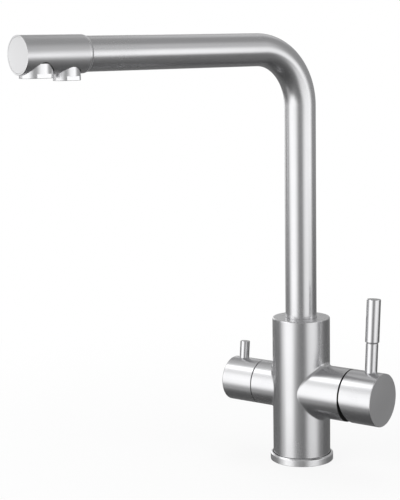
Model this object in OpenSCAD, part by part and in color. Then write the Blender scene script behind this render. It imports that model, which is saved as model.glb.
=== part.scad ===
// Three way filtered water tap: a mixer with a side lever, a quarter turn filter valve and a swivel spout
// Origin: centre of the underside on the column's axis. +Z up, mixer barrel along +X, filter barrel along -X.
// The spout lies along -Y, turned by spout_rest_turn. All lengths are in millimetres.

/* [Base] */
// outer diameter of the ring on the worktop
base_ring_d = 55; // [52:0.5:62]
// height of the ring's straight band
base_ring_h = 5.5; // [4:0.1:8]
// slope at the top of the ring
base_ring_slope = 1; // [0.5:0.1:1.5]
// height at which the column stands in the ring
base_seat_h = 3; // [2:0.1:3.5]
// width of the rubber gasket
gasket_w = 3; // [2:0.1:3.5]
// thickness of the rubber gasket
gasket_t = 1.5; // [1:0.1:2]

/* [Column] */
// outer diameter of the column
column_d = 50; // [48:0.5:56]
// height of the column's top face
column_h = 127; // [122:0.5:150]
// bevel round the column's top
column_bevel = 0.8; // [0.3:0.1:1.5]
// wall of the column round the inlet block
column_wall = 3; // [2.5:0.1:4]
// width of the dark gap between the column and the spout
collar_gap = 0.4; // [0.2:0.05:0.8]
// thickness of the lip over the upper bush
collar_t = 3; // [2:0.1:4]

/* [Barrels] */
// height of both barrels' axis
barrel_z = 63.7; // [60:0.1:70]
// diameter of the mixer barrel and its hub
mixer_d = 45.6; // [44:0.1:48]
// where the fixed mixer barrel ends
mixer_stub_end = 49.5; // [49:0.1:54]
// gap between the mixer barrel and its hub
mixer_gap = 1; // [0.8:0.1:1.5]
// where the mixer hub ends
mixer_hub_end = 81; // [78:0.1:90]
// diameter of the filter barrel and its knob
filter_d = 39; // [38:0.1:43]
// where the fixed filter barrel ends
filter_stub_end = 40.7; // [40:0.1:45]
// gap between the filter barrel and its knob
filter_gap = 0.6; // [0.4:0.1:1]
// where the filter knob ends
filter_knob_end = 72; // [69:0.1:80]
// small bevel on the edges at the gaps
gap_bevel = 0.3; // [0.1:0.05:0.5]

/* [Mixer lever] */
// distance of the lever from the column's axis
lever_x = 68.6; // [66:0.1:70]
// height of the lever's top over the barrel's axis
lever_top = 85; // [70:0.5:120]
// height of the grip's lower end over the barrel's axis
grip_foot = 47.4; // [35:0.1:60]
// diameter of the lever's rod
lever_rod_d = 10.5; // [8:0.1:11]
// diameter of the lever's grip
lever_grip_d = 12; // [9:0.1:14]
// bevel on the lever's ends
lever_bevel = 0.6; // [0.2:0.1:1]
// diameter of the threaded stud in the lever
lever_stud_d = 6; // [5:0.1:7]
// how far the photographed lever is turned back from upright
mixer_rest_turn = 4.3; // [0:0.1:20]
// travel of the lever from closed to full flow
mixer_lift_max = 14; // [10:0.5:18]

/* [Mixer hub] */
// wall of the hub's shell
hub_wall = 3; // [2:0.1:3.5]
// thickness of the hub's closed end
hub_end_t = 4; // [3:0.1:5]
// diameter of the boss that grips the spindle
hub_boss_d = 17; // [15:0.1:20]
// where the spindle boss starts
hub_boss_start = 56; // [55:0.1:58]
// diameter of the boss that holds the lever
lever_boss_d = 15; // [12:0.1:16]
// diameter of the grub screw under the hub
hub_screw_d = 5; // [4:0.1:6]
// where the grub screw stands along the barrel
hub_screw_x = 61; // [60:0.1:63]

/* [Mixer cartridge] */
// outer diameter of the cartridge
cartridge_d = 35; // [34:0.1:36]
// where the cartridge seats in the column
cartridge_seat_x = 19; // [18:0.1:20]
// thickness of the cartridge's base
cartridge_base_t = 5; // [4:0.1:5.5]
// wall of the cartridge's housing
cartridge_wall = 2; // [1.5:0.1:2.4]
// thickness of the ceramic discs
disc_t = 2.6; // [2.2:0.1:2.8]
// diameter of the moving ceramic disc
moving_disc_d = 22; // [20:0.1:23]
// thickness of the driver behind the moving disc
driver_t = 4.2; // [4:0.1:4.4]
// where the lever's pivot pin lies along the barrel
pivot_x = 39; // [38.8:0.1:39.4]
// diameter of the pivot pin
pivot_pin_d = 3; // [2:0.1:3.5]
// side of the square spindle
spindle_side = 8; // [7:0.1:8.4]
// diameter of the ball at the spindle's inner end
spindle_ball_d = 3.6; // [3:0.1:3.8]
// diameter of the opening for the spindle
spindle_mouth_d = 18; // [17:0.1:20]
// outer diameter of the cartridge nut
cartridge_nut_d = 39; // [38:0.1:40]
// length of the cartridge nut
cartridge_nut_t = 3.4; // [3:0.1:3.6]
// diameter of the waterways in the mixer
waterway_d = 6; // [5:0.1:6.5]

/* [Filter pin and knob] */
// distance of the pin from the column's axis
pin_x = 62; // [58:0.1:63]
// height of the pin's top over the barrel's axis
pin_top = 34.4; // [28:0.1:50]
// diameter of the pin
pin_d = 8.6; // [7:0.1:10]
// diameter of the threaded stud of the pin
pin_stud_d = 5; // [4:0.1:6]
// how far the photographed pin is turned back from upright
filter_rest_turn = 5.8; // [0:0.1:20]
// wall of the knob's shell
knob_wall = 2.7; // [2:0.1:3.2]
// thickness of the knob's closed end
knob_end_t = 3.5; // [3:0.1:4.5]
// rounding of the knob's outer edge
knob_round = 1.1; // [0.5:0.1:2]
// diameter of the boss that grips the filter spindle
knob_boss_d = 14; // [12:0.1:15]
// where the boss on the filter spindle starts
knob_boss_start = 44; // [43:0.1:46]
// diameter of the boss that holds the pin
pin_boss_d = 12; // [10:0.1:13]
// diameter of the knob's grub screw
knob_screw_d = 3; // [2.5:0.1:4]
// where the grub screw stands along the barrel
knob_screw_x = 52; // [50:0.1:53]

/* [Filter headwork] */
// where the headwork seats in the column
headwork_seat_x = 20; // [19:0.1:21]
// diameter of the headwork
headwork_d = 24; // [22:0.1:25]
// length of the headwork in its pocket
headwork_len = 13; // [12.5:0.1:13.5]
// wall of the headwork
headwork_wall = 3.5; // [3:0.1:4]
// thickness of the headwork's flange
headwork_flange_t = 2; // [1.5:0.1:2.2]
// diameter of the headwork's nut
headwork_nut_d = 30; // [29:0.1:31]
// length of the headwork's nut
headwork_nut_t = 3.5; // [3:0.1:3.6]
// diameter of the headwork's neck
headwork_neck_d = 18; // [16:0.1:19]
// diameter of the filter spindle
filter_spindle_d = 8; // [7:0.1:9]
// side of the square on the filter spindle's end
filter_square = 5.4; // [4.5:0.1:6]
// thickness of the filter's ceramic discs
filter_disc_t = 2.4; // [2:0.1:2.5]

/* [Spout] */
// outer diameter of the spout's tube
tube_d = 27; // [25:0.1:29]
// wall of the spout's tube
tube_wall = 1.2; // [1:0.1:1.5]
// height of the spout's axis
spout_z = 358; // [300:1:420]
// radius of the bend on the tube's axis
bend_r = 48; // [35:0.5:80]
// reach of the spout's tip from the column's axis
spout_reach = 276; // [200:1:320]
// how far the photographed spout is turned to one side
spout_rest_turn = 15; // [0:1:60]

/* [Spout foot] */
// height of the socket's floor in the column
socket_z = 84; // [83:0.1:86]
// diameter of the socket in the column
socket_d = 33; // [31:0.1:35]
// height of the lower bush, as a share of the socket's depth
lower_bush_share = 0.35; // [0.3:0.01:0.38]
// height of the upper bush, as a share of the socket's depth
upper_bush_share = 0.2; // [0.12:0.01:0.22]
// height of the screw that holds the foot, as a share of the socket's depth
foot_screw_share = 0.5; // [0.48:0.01:0.55]
// spacing of the sealing rings, as a share of the socket's depth
foot_seal_share = 0.125; // [0.12:0.001:0.13]
// shoulder of the foot over its screw's groove
foot_shoulder = 1; // [0.8:0.1:2]
// height of the foot's spigot inside the tube
foot_spigot_h = 8; // [5:0.1:9]
// bore of the foot
foot_bore_d = 18; // [16:0.1:19]
// thickness of the sealing rings on the foot
foot_seal_t = 2; // [1.6:0.1:2.4]
// diameter of the screw that holds the foot
foot_screw_d = 5; // [4:0.1:5.5]

/* [Spout head] */
// diameter of the head
head_d = 29.2; // [28.6:0.1:32]
// length of the head at full diameter
head_len = 54.4; // [54:0.1:58]
// length of the slope behind the head
head_slope = 3; // [2:0.1:6]
// how far the tube reaches into the head
head_socket = 4.5; // [3:0.1:4.5]
// wall of the head round the outlet block
head_wall = 2; // [1.6:0.1:2.3]
// thickness of the flat cap at the tip
cap_t = 1.4; // [1:0.1:1.5]
// width of the rim round the cap
cap_rim = 1.3; // [0.8:0.1:1.8]
// how deep the cap lies behind the rim
cap_inset = 0.3; // [0.1:0.1:0.6]

/* [Outlets] */
// distance of the mains outlet from the tip
main_outlet_back = 15.2; // [15:0.1:17]
// diameter of the mains outlet
main_outlet_d = 25.8; // [24:0.1:26]
// how far the mains outlet ends below the spout's axis
main_outlet_drop = 17; // [16:0.1:22]
// distance of the filtered outlet from the tip
filter_outlet_back = 41.6; // [41:0.1:43]
// diameter of the filtered outlet
filter_outlet_d = 21.1; // [19:0.1:21.5]
// how far the filtered outlet ends below the spout's axis
filter_outlet_drop = 19.4; // [17:0.1:24]
// gap round each outlet where it enters the head
outlet_gap = 0.5; // [0.3:0.1:0.7]
// height of the spanner flats
flat_h = 3.3; // [2:0.1:3.5]
// depth of the spanner flats
flat_depth = 1.5; // [0.8:0.1:1.7]
// wall of the outlet housings
outlet_wall = 2.3; // [1.8:0.1:2.6]
// how deep the aerator lies in its housing
aerator_inset = 1.2; // [0.5:0.1:2]
// thickness of the aerator
aerator_t = 6; // [5:0.1:6.5]
// diameter of the aerator's holes
aerator_hole_d = 1.8; // [1.2:0.1:2]
// thickness of the outlet washers
washer_t = 0.8; // [0.5:0.1:1]
// diameter of the mains outlet's neck
main_neck_d = 17; // [15:0.1:18]
// diameter of the filtered outlet's neck
filter_neck_d = 13; // [11:0.1:14]

/* [Inner hose] */
// outer diameter of the filtered water hose
hose_d = 8; // [7:0.1:8.4]
// wall of the filtered water hose
hose_wall = 1.7; // [1.4:0.1:1.9]
// height of the nipple that the hose turns on
nipple_h = 10; // [8:0.1:12]
// thickness of the hose's clip
clip_t = 1.4; // [1:0.1:1.6]

/* [Inlets] */
// height of the inlet block
block_h = 32; // [28:0.1:36]
// how far the block stands back from the worktop
block_inset = 1; // [0.5:0.1:2]
// diameter of the circle on which the ports lie
port_circle_d = 24; // [23:0.1:26]
// bore of the three water ports
port_d = 9; // [8:0.1:10]
// bore for the fixing stud
stud_d = 6.8; // [6:0.1:8]
// depth of the ports
port_depth = 18; // [15:0.1:22]

/* [Fits] */
// gap round pieces that turn or slide in one another
running = 0.05; // [0.02:0.01:0.1]
// gap round pieces that are fixed in one another
seat = 0.05; // [0.02:0.01:0.1]
// gap between pieces that pass one another
passing = 0.3; // [0.2:0.05:0.4]

/* [Hidden] */
$fn = 96;
steel = [0.74, 0.74, 0.75];
bright_steel = [0.82, 0.82, 0.83];
brass = [0.80, 0.66, 0.36];
ceramic = [0.93, 0.93, 0.90];
black = [0.10, 0.10, 0.11];
plastic = [0.86, 0.88, 0.90];
blue = [0.25, 0.45, 0.75];
rubber = [0.16, 0.16, 0.17];

// overrun of every cut
over = 1;

// radii of the turned pieces
column_r = column_d / 2;
mixer_r = mixer_d / 2;
filter_r = filter_d / 2;
tube_r = tube_d / 2;
head_r = head_d / 2;
block_r = column_r - column_wall;

// heights in the base
block_top = block_inset + block_h;
ring_top = base_ring_h + base_ring_slope;
gasket_r = (block_r + base_ring_d / 2) / 2;

// stations along the mixer barrel
hub_start = mixer_stub_end + mixer_gap;
base_end_x = cartridge_seat_x + cartridge_base_t;
fixed_disc_end_x = base_end_x + disc_t;
driver_x = fixed_disc_end_x + running + disc_t;
driver_end_x = driver_x + driver_t;
carrier_x = driver_end_x + passing;
mixer_ring_t = 1;
ring_lip = 1.2;
mixer_mouth_x = mixer_stub_end - mixer_ring_t - cartridge_nut_t;
cartridge_cavity_x = mixer_mouth_x - cartridge_wall;
carrier_end_x = cartridge_cavity_x - passing;
carrier_r = cartridge_d / 2 - cartridge_wall - running;
spindle_mouth_r = spindle_mouth_d / 2;
neck_wall = 3.2;
cartridge_neck_r = spindle_mouth_r + neck_wall;
cartridge_neck_t = 1.6;
ball_x = driver_x + passing + spindle_ball_d / 2;
spindle_x = carrier_x + running + spindle_side * sin(mixer_lift_max) / 2;
spindle_grip = 10;
spindle_end_x = hub_boss_start + spindle_grip;
driver_r = moving_disc_d / 2;

// the lever hub is cut back below so that it can tip towards the column
relief_top = ((mixer_stub_end - pivot_x + passing) - (hub_start - pivot_x) * cos(mixer_lift_max))
    / sin(mixer_lift_max);

// stations along the filter barrel
knob_start = filter_stub_end + filter_gap;
filter_ring_t = 0.9;
headwork_seal_t = 0.5;
headwork_x = headwork_seat_x + headwork_seal_t;
flange_x = headwork_seat_x + headwork_len;
headwork_nut_x = flange_x + headwork_flange_t;
filter_cavity_r = headwork_d / 2 - headwork_wall;
filter_moving_x = headwork_x + filter_disc_t;
spindle_flange_x = filter_moving_x + running + filter_disc_t;
spindle_flange_t = 2.4;
filter_neck_x = spindle_flange_x + spindle_flange_t + passing;
headwork_neck_end = filter_stub_end - filter_ring_t - passing;
filter_spindle_r = filter_spindle_d / 2;
filter_spindle_end = knob_screw_x + knob_screw_d * 2;

// heights in the spout's socket
socket_r = socket_d / 2;
socket_top = column_h - collar_t;
socket_depth = socket_top - socket_z;
lower_bush_top = socket_z + socket_depth * lower_bush_share;
upper_bush_z = socket_top - socket_depth * upper_bush_share;
foot_z = socket_z + passing * 4;
screw_z = socket_z + socket_depth * foot_screw_share;
groove_h = foot_screw_d / 2 + passing;
tube_z = screw_z + groove_h + foot_shoulder;
groove_depth = 1.6;

// stations along the spout
straight_top = spout_z - bend_r;
head_x = spout_reach - head_len;
head_back_x = head_x - head_slope;
tube_end_x = head_back_x + head_socket;
cap_x = spout_reach - cap_inset - cap_t;
cavity_r = head_r - head_wall;
cap_r = head_r - cap_rim;
main_x = spout_reach - main_outlet_back;
filter_x = spout_reach - filter_outlet_back;
block_x = tube_end_x + seat;
block_end_x = main_x + main_neck_d / 2 + outlet_wall;
main_shoulder = -5.6;
filter_shoulder = -8.4;
neck_len = 5;

// waterways in the column
port_r = port_circle_d / 2;
inlet_x = port_r * cos(45);
inlet_z = barrel_z - inlet_x * 0.8;
mixed_x = 7;
mixed_z = barrel_z + 9.4;
filtered_z = barrel_z + 6;
filter_way_d = 5;

// part that is drawn

// frames of the four moving and fixed groups

module on_mixer() {
    translate([0, 0, barrel_z]) rotate([0, 90, 0]) children();
}

module on_handle() {
    translate([0, 0, barrel_z]) rotate([-mixer_rest_turn, 0, 0]) children();
}

module along_handle() {
    on_handle() rotate([0, 90, 0]) children();
}

module on_filter() {
    translate([0, 0, barrel_z]) rotate([0, -90, 0]) children();
}

module on_knob() {
    translate([0, 0, barrel_z]) rotate([-filter_rest_turn, 0, 0]) children();
}

module along_knob() {
    on_knob() rotate([0, -90, 0]) children();
}

module on_spout() {
    rotate([0, 0, -spout_rest_turn]) children();
}

module along_spout() {
    on_spout() translate([0, 0, spout_z]) rotate([90, 0, 0]) children();
}

module at_outlet(reach) {
    on_spout() translate([0, -reach, spout_z]) children();
}

// turned shapes

module disc(r, from, to) {
    translate([0, 0, from]) cylinder(r = r, h = to - from);
}

module ring(inner, outer, from, to) {
    difference() {
        disc(outer, from, to);
        disc(inner, from - over, to + over);
    }
}

// a bar with a bevel at either end, where one is asked for
module bar(r, from, to, lead = 0, tail = 0) {
    start = lead > 0 ? [[r - lead, from], [r, from + lead]] : [[r, from]];
    end = tail > 0 ? [[r, to - tail], [r - tail, to]] : [[r, to]];
    rotate_extrude() polygon(concat([[0, from]], start, end, [[0, to]]));
}

// a bar whose far edge is rounded
module rounded_bar(r, from, to, edge) {
    rotate_extrude() {
        translate([0, from]) square([r - edge, to - from]);
        translate([0, from]) square([r, to - from - edge]);
        intersection() {
            translate([r - edge, to - edge]) circle(r = edge);
            translate([0, from]) square([r, to - from]);
        }
    }
}

// a bar of square section along +Z
module square_bar(side, from, to) {
    translate([-side / 2, -side / 2, from]) cube([side, side, to - from]);
}

// copies on both sides of the XZ plane
module both_sides() {
    children();
    mirror([0, 1, 0]) children();
}

// base

module base_ring() {
    color(steel) difference() {
        bar(base_ring_d / 2, 0, ring_top, 0, base_ring_slope);
        disc(block_r + seat, -over, ring_top + over);
        disc(column_r + seat, base_seat_h, ring_top + over);
        ring(gasket_r - gasket_w / 2, gasket_r + gasket_w / 2, -over, gasket_t);
    }
}

module base_gasket() {
    color(rubber) ring(gasket_r - gasket_w / 2, gasket_r + gasket_w / 2, 0, gasket_t);
}

// four ports at equal angles, three for water and one for the fixing stud
module ports() {
    for (side = [-1, 1])
        translate([inlet_x, side * inlet_x, 0]) {
            disc(port_d / 2, block_inset - over, block_inset + port_depth);
            disc(waterway_d / 2, block_inset + port_depth - over, block_top + over);
        }
    translate([-inlet_x, inlet_x, 0]) {
        disc(port_d / 2, block_inset - over, block_inset + port_depth);
        disc(filter_way_d / 2, block_inset + port_depth - over, block_top + over);
    }
    translate([-inlet_x, -inlet_x, 0]) disc(stud_d / 2, block_inset - over, block_inset + port_depth);
}

module inlet_block() {
    color(brass) difference() {
        disc(block_r, block_inset, block_top);
        ports();
    }
}

// column with both barrel stubs, cast in one piece

module cartridge_pocket() {
    on_mixer() {
        disc(cartridge_d / 2 + seat, cartridge_seat_x, mixer_stub_end + over);
        disc(cartridge_nut_d / 2 + seat, mixer_mouth_x, mixer_stub_end + over);
        disc(mixer_r - ring_lip, mixer_stub_end - mixer_ring_t, mixer_stub_end + over);
    }
}

module headwork_pocket() {
    on_filter() {
        disc(headwork_d / 2 + seat, headwork_seat_x, filter_stub_end + over);
        disc(headwork_nut_d / 2 + seat, flange_x, filter_stub_end + over);
        disc(filter_r - ring_lip, filter_stub_end - filter_ring_t, filter_stub_end + over);
    }
}

module spout_socket() {
    disc(socket_r, socket_z, socket_top);
    disc(tube_r + collar_gap, socket_top - over, column_h + over);
    translate([0, 0, screw_z]) rotate([-90, 0, 0]) disc(foot_screw_d / 2, 0, column_r + over);
}

// hot and cold to the cartridge, and mixed water back to the spout
module mixer_waterways() {
    both_sides() {
        translate([inlet_x, inlet_x, 0]) disc(waterway_d / 2, block_top - over, inlet_z);
        translate([0, inlet_x, inlet_z]) rotate([0, 90, 0])
            disc(waterway_d / 2, inlet_x, cartridge_seat_x + over);
    }
    translate([mixed_x, 0, 0]) disc(waterway_d / 2, mixed_z, socket_z + over);
    translate([0, 0, mixed_z]) rotate([0, 90, 0]) disc(waterway_d / 2, mixed_x, cartridge_seat_x + over);
}

// filtered water to its valve, and back to the hose in the spout
module filter_waterways() {
    translate([-inlet_x, inlet_x, 0]) disc(filter_way_d / 2, block_top - over, barrel_z);
    translate([0, inlet_x - filter_way_d, barrel_z]) rotate([0, -90, 0])
        disc(filter_way_d / 2, inlet_x, headwork_seat_x + over);
    disc(filter_way_d / 2, filtered_z, socket_z + over);
    translate([0, 0, filtered_z]) rotate([0, -90, 0]) disc(filter_way_d / 2, 0, headwork_seat_x + over);
}

module tap_body() {
    color(steel) difference() {
        union() {
            bar(column_r, base_seat_h, column_h, 0, column_bevel);
            on_mixer() bar(mixer_r, 0, mixer_stub_end, 0, gap_bevel);
            on_filter() bar(filter_r, 0, filter_stub_end, 0, gap_bevel);
        }
        disc(block_r + seat, base_seat_h - over, block_top);
        spout_socket();
        cartridge_pocket();
        headwork_pocket();
        mixer_waterways();
        filter_waterways();
    }
}

// spout's bearings in the column

module lower_bush() {
    color(plastic) ring(tube_r + running, socket_r - seat, socket_z, lower_bush_top);
}

module upper_bush() {
    color(plastic) ring(tube_r + running, socket_r - seat, upper_bush_z, socket_top);
}

// the grub screw at the back keeps the foot down and lets it turn
module foot_screw() {
    color(bright_steel) translate([0, 0, screw_z]) rotate([-90, 0, 0])
        disc(foot_screw_d / 2 - seat, tube_r - groove_depth + passing, column_r - column_bevel);
}

module filter_nipple() {
    spigot_r = hose_d / 2 - hose_wall - passing;
    color(brass) difference() {
        union() {
            disc(filter_way_d / 2 - seat, filtered_z + filter_way_d, socket_z);
            disc(hose_d / 2, socket_z, foot_z - passing);
            disc(spigot_r, foot_z - passing - seat, foot_z + nipple_h);
        }
        disc(spigot_r / 2, filtered_z, foot_z + nipple_h + over);
    }
}

// mixer cartridge, fixed pieces

// places of the three waterways on the cartridge's seat
module at_cartridge_ports() {
    both_sides() translate([barrel_z - inlet_z, inlet_x, 0]) children();
    translate([barrel_z - mixed_z, 0, 0]) children();
}

module cartridge_base() {
    seal_t = waterway_d / 5;
    color(plastic) on_mixer() difference() {
        disc(cartridge_d / 2 - seat, cartridge_seat_x, base_end_x);
        at_cartridge_ports() {
            disc(waterway_d / 2, cartridge_seat_x - over, base_end_x + over);
            disc(waterway_d * 0.7, cartridge_seat_x - over, cartridge_seat_x + seal_t);
        }
    }
}

module cartridge_seals() {
    seal_t = waterway_d / 5;
    color(rubber) on_mixer() at_cartridge_ports()
        ring(waterway_d / 2, waterway_d * 0.7 - seat, cartridge_seat_x, cartridge_seat_x + seal_t);
}

module fixed_disc() {
    color(ceramic) on_mixer() difference() {
        disc(carrier_r, base_end_x, fixed_disc_end_x);
        at_cartridge_ports() disc(waterway_d / 2, base_end_x - over, fixed_disc_end_x + over);
    }
}

module cartridge_housing() {
    color(plastic) on_mixer() difference() {
        union() {
            disc(cartridge_d / 2, base_end_x, mixer_mouth_x);
            disc(cartridge_neck_r, base_end_x, mixer_mouth_x + cartridge_neck_t);
        }
        disc(carrier_r + running, base_end_x - over, cartridge_cavity_x);
        disc(spindle_mouth_r, cartridge_cavity_x - over, mixer_mouth_x + cartridge_neck_t + over);
    }
}

module cartridge_nut() {
    slots = 4;
    slot_w = 3;
    slot_depth = 1.5;
    end = mixer_stub_end - mixer_ring_t;
    color(brass) on_mixer() difference() {
        ring(cartridge_neck_r + seat, cartridge_nut_d / 2, mixer_mouth_x, end);
        for (i = [0 : slots - 1])
            rotate(i * 360 / slots)
                translate([cartridge_neck_r, -slot_w / 2, end - slot_depth])
                    cube([cartridge_nut_d, slot_w, slot_depth + over]);
    }
}

module mixer_gap_ring() {
    color(black) on_mixer()
        ring(cartridge_neck_r + seat, mixer_r - ring_lip - seat, mixer_stub_end - mixer_ring_t,
             mixer_stub_end);
}

// mixer cartridge, moving pieces

module cartridge_carrier() {
    slot_side = spindle_side + running * 2;
    slot_h = spindle_side + passing * 2 + (carrier_end_x - carrier_x) * sin(mixer_lift_max);
    color(plastic) difference() {
        along_handle() disc(carrier_r, carrier_x, carrier_end_x);
        on_handle() translate([carrier_x - over, -slot_side / 2, -slot_h / 2])
            cube([carrier_end_x - carrier_x + over * 2, slot_side, slot_h]);
        pin_along_y(pivot_pin_d / 2 + seat);
    }
}

module pin_along_y(r) {
    half = carrier_r - pivot_pin_d;
    on_handle() translate([pivot_x, 0, 0]) rotate([90, 0, 0]) disc(r, -half, half);
}

module pivot_pin() {
    color(bright_steel) pin_along_y(pivot_pin_d / 2);
}

module moving_disc() {
    pocket_r = driver_r * 0.55;
    color(ceramic) along_handle() difference() {
        disc(driver_r, fixed_disc_end_x + running, driver_x);
        disc(pocket_r, fixed_disc_end_x, fixed_disc_end_x + disc_t / 2);
    }
}

module disc_driver() {
    slot = spindle_ball_d + passing * 2;
    color(plastic) difference() {
        along_handle() disc(driver_r, driver_x, driver_end_x);
        on_handle() translate([driver_x + passing / 2, -slot / 2, -slot / 2])
            cube([driver_t + over, slot, slot]);
    }
}

module mixer_spindle() {
    neck_r = spindle_ball_d / 3;
    color(brass) difference() {
        along_handle() {
            square_bar(spindle_side, spindle_x, spindle_end_x);
            disc(neck_r, ball_x, spindle_x + over);
            translate([0, 0, ball_x]) sphere(d = spindle_ball_d);
        }
        on_handle() translate([pivot_x, 0, 0]) rotate([90, 0, 0])
            disc(pivot_pin_d / 2 + running, -spindle_side, spindle_side);
    }
}

// mixer hub and lever

// the wedge that lets the hub tip towards the column
module hub_relief() {
    on_handle() translate([hub_start, 0, relief_top]) rotate([0, -mixer_lift_max, 0])
        translate([-mixer_d, -mixer_d, -mixer_d]) cube([mixer_d, mixer_d * 2, mixer_d]);
}

module hub_inside() {
    cavity_r = mixer_r - hub_wall;
    difference() {
        along_handle() disc(cavity_r, hub_start - over, mixer_hub_end - hub_end_t);
        along_handle() disc(hub_boss_d / 2, hub_boss_start, mixer_hub_end);
        on_handle() translate([lever_x, 0, 0]) disc(lever_boss_d / 2, 0, mixer_r);
    }
}

module mixer_hub() {
    rod_seat = mixer_r - lever_bevel * 2;
    stud_foot = hub_boss_d / 2 + lever_stud_d / 4;
    color(steel) difference() {
        along_handle() bar(mixer_r, hub_start, mixer_hub_end, gap_bevel, gap_bevel);
        hub_inside();
        hub_relief();
        along_handle() square_bar(spindle_side + seat * 2, hub_boss_start - over, spindle_end_x + seat);
        on_handle() translate([lever_x, 0, 0]) {
            disc(lever_rod_d / 2 + seat, rod_seat, mixer_r + over);
            disc(lever_stud_d / 2 + seat, stud_foot, rod_seat + over);
        }
        on_handle() translate([hub_screw_x, 0, 0]) {
            disc(hub_screw_d / 2 + seat, -mixer_r - over, -spindle_side / 2);
        }
    }
}

module lever_rod() {
    rod_seat = mixer_r - lever_bevel * 2;
    stud_foot = hub_boss_d / 2 + lever_stud_d / 4 + seat;
    stud_top = grip_foot + lever_stud_d * 2;
    color(bright_steel) on_handle() translate([lever_x, 0, 0]) {
        bar(lever_stud_d / 2, stud_foot, stud_top, lever_bevel, lever_bevel);
        bar(lever_rod_d / 2, rod_seat, grip_foot, 0, lever_bevel / 2);
    }
}

module lever_grip() {
    color(bright_steel) on_handle() translate([lever_x, 0, 0]) difference() {
        bar(lever_grip_d / 2, grip_foot, lever_top, lever_bevel * 2, lever_bevel);
        disc(lever_stud_d / 2 + seat, grip_foot - over, grip_foot + lever_stud_d * 2 + seat);
    }
}

module hub_screw() {
    color(bright_steel) on_handle() translate([hub_screw_x, 0, 0])
        disc(hub_screw_d / 2, -hub_boss_d / 2 - hub_screw_d / 5, -spindle_side / 2);
}

module hub_plug() {
    color(black) on_handle() translate([hub_screw_x, 0, 0])
        disc(hub_screw_d / 2, -mixer_r + gap_bevel, -mixer_r + hub_wall);
}

// filter valve, fixed pieces

module headwork_seal() {
    color(rubber) on_filter()
        ring(filter_cavity_r + seat, headwork_d / 2 - seat, headwork_seat_x, headwork_x);
}

module headwork_housing() {
    color(brass) on_filter() difference() {
        union() {
            disc(headwork_d / 2, headwork_x, flange_x + seat);
            disc(headwork_nut_d / 2, flange_x, headwork_nut_x);
            disc(headwork_neck_d / 2, headwork_nut_x - seat, headwork_neck_end);
        }
        disc(filter_cavity_r, headwork_x - over, filter_neck_x);
        disc(filter_spindle_r + running, filter_neck_x - over, filter_stub_end);
    }
}

module filter_fixed_disc() {
    hole = filter_way_d / 4;
    color(ceramic) on_filter() difference() {
        disc(filter_cavity_r - seat, headwork_x, filter_moving_x);
        for (side = [-1, 1])
            translate([side * filter_cavity_r / 2, 0, 0])
                disc(hole, headwork_x - over, filter_moving_x + over);
    }
}

module headwork_nut() {
    slots = 4;
    slot_w = 3;
    slot_depth = 1.2;
    end = headwork_nut_x + headwork_nut_t;
    color(brass) on_filter() difference() {
        ring(headwork_neck_d / 2 + seat, headwork_nut_d / 2, headwork_nut_x, end);
        for (i = [0 : slots - 1])
            rotate(i * 360 / slots)
                translate([headwork_neck_d / 2, -slot_w / 2, end - slot_depth])
                    cube([headwork_nut_d, slot_w, slot_depth + over]);
    }
}

module filter_gap_ring() {
    color(black) on_filter()
        ring(filter_spindle_r + passing, filter_r - ring_lip - seat, filter_stub_end - filter_ring_t,
             filter_stub_end);
}

// filter valve, moving pieces

module filter_moving_disc() {
    hole = filter_way_d / 4;
    color(ceramic) along_knob() difference() {
        disc(filter_cavity_r - running, filter_moving_x + running, spindle_flange_x);
        translate([0, filter_cavity_r / 2, 0]) disc(hole, filter_moving_x, spindle_flange_x + over);
    }
}

module filter_spindle() {
    groove_x = filter_neck_x + filter_spindle_r;
    color(brass) along_knob() difference() {
        union() {
            disc(filter_cavity_r - running, spindle_flange_x, spindle_flange_x + spindle_flange_t);
            disc(filter_spindle_r, spindle_flange_x, knob_boss_start - passing);
            square_bar(filter_square, knob_boss_start - over, filter_spindle_end);
        }
        ring(filter_spindle_r - over, filter_spindle_r + over, groove_x, groove_x + over * 2);
    }
}

module spindle_seal() {
    groove_x = filter_neck_x + filter_spindle_r;
    color(rubber) along_knob() ring(filter_spindle_r - over, filter_spindle_r, groove_x, groove_x + over * 2);
}

module filter_knob() {
    cavity_r = filter_r - knob_wall;
    pin_seat = filter_r - gap_bevel * 3;
    color(steel) difference() {
        along_knob() rounded_bar(filter_r, knob_start, filter_knob_end, knob_round);
        difference() {
            along_knob() disc(cavity_r, knob_start - over, filter_knob_end - knob_end_t);
            along_knob() disc(knob_boss_d / 2, knob_boss_start, filter_knob_end);
            on_knob() translate([-pin_x, 0, 0]) disc(pin_boss_d / 2, 0, filter_r);
        }
        along_knob() square_bar(filter_square + seat * 2, knob_boss_start - over, filter_spindle_end + seat);
        on_knob() translate([-pin_x, 0, 0]) {
            disc(pin_d / 2 + seat, pin_seat, filter_r + over);
            disc(pin_stud_d / 2 + seat, knob_boss_d / 2, pin_seat + over);
        }
        on_knob() translate([-knob_screw_x, 0, 0])
            disc(knob_screw_d / 2 + seat, -filter_r - over, -filter_square / 2);
    }
}

module filter_pin() {
    pin_seat = filter_r - gap_bevel * 3;
    color(bright_steel) on_knob() translate([-pin_x, 0, 0]) {
        bar(pin_stud_d / 2, knob_boss_d / 2 + seat, filter_r, lever_bevel, 0);
        bar(pin_d / 2, pin_seat, pin_top, 0, lever_bevel / 2);
    }
}

module knob_screw() {
    color(bright_steel) on_knob() translate([-knob_screw_x, 0, 0])
        disc(knob_screw_d / 2, -knob_boss_d / 2 - knob_screw_d / 4, -filter_square / 2);
}

// spout

// a round bar along the spout's axis: up, round the bend and out to the head
module spout_path(r, from_z, to_reach) {
    disc(r, from_z, straight_top);
    translate([0, -bend_r, straight_top]) rotate([90, 0, 90])
        rotate_extrude(angle = 90) translate([bend_r, 0]) circle(r = r);
    translate([0, 0, spout_z]) rotate([90, 0, 0]) disc(r, bend_r, to_reach);
}

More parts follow.
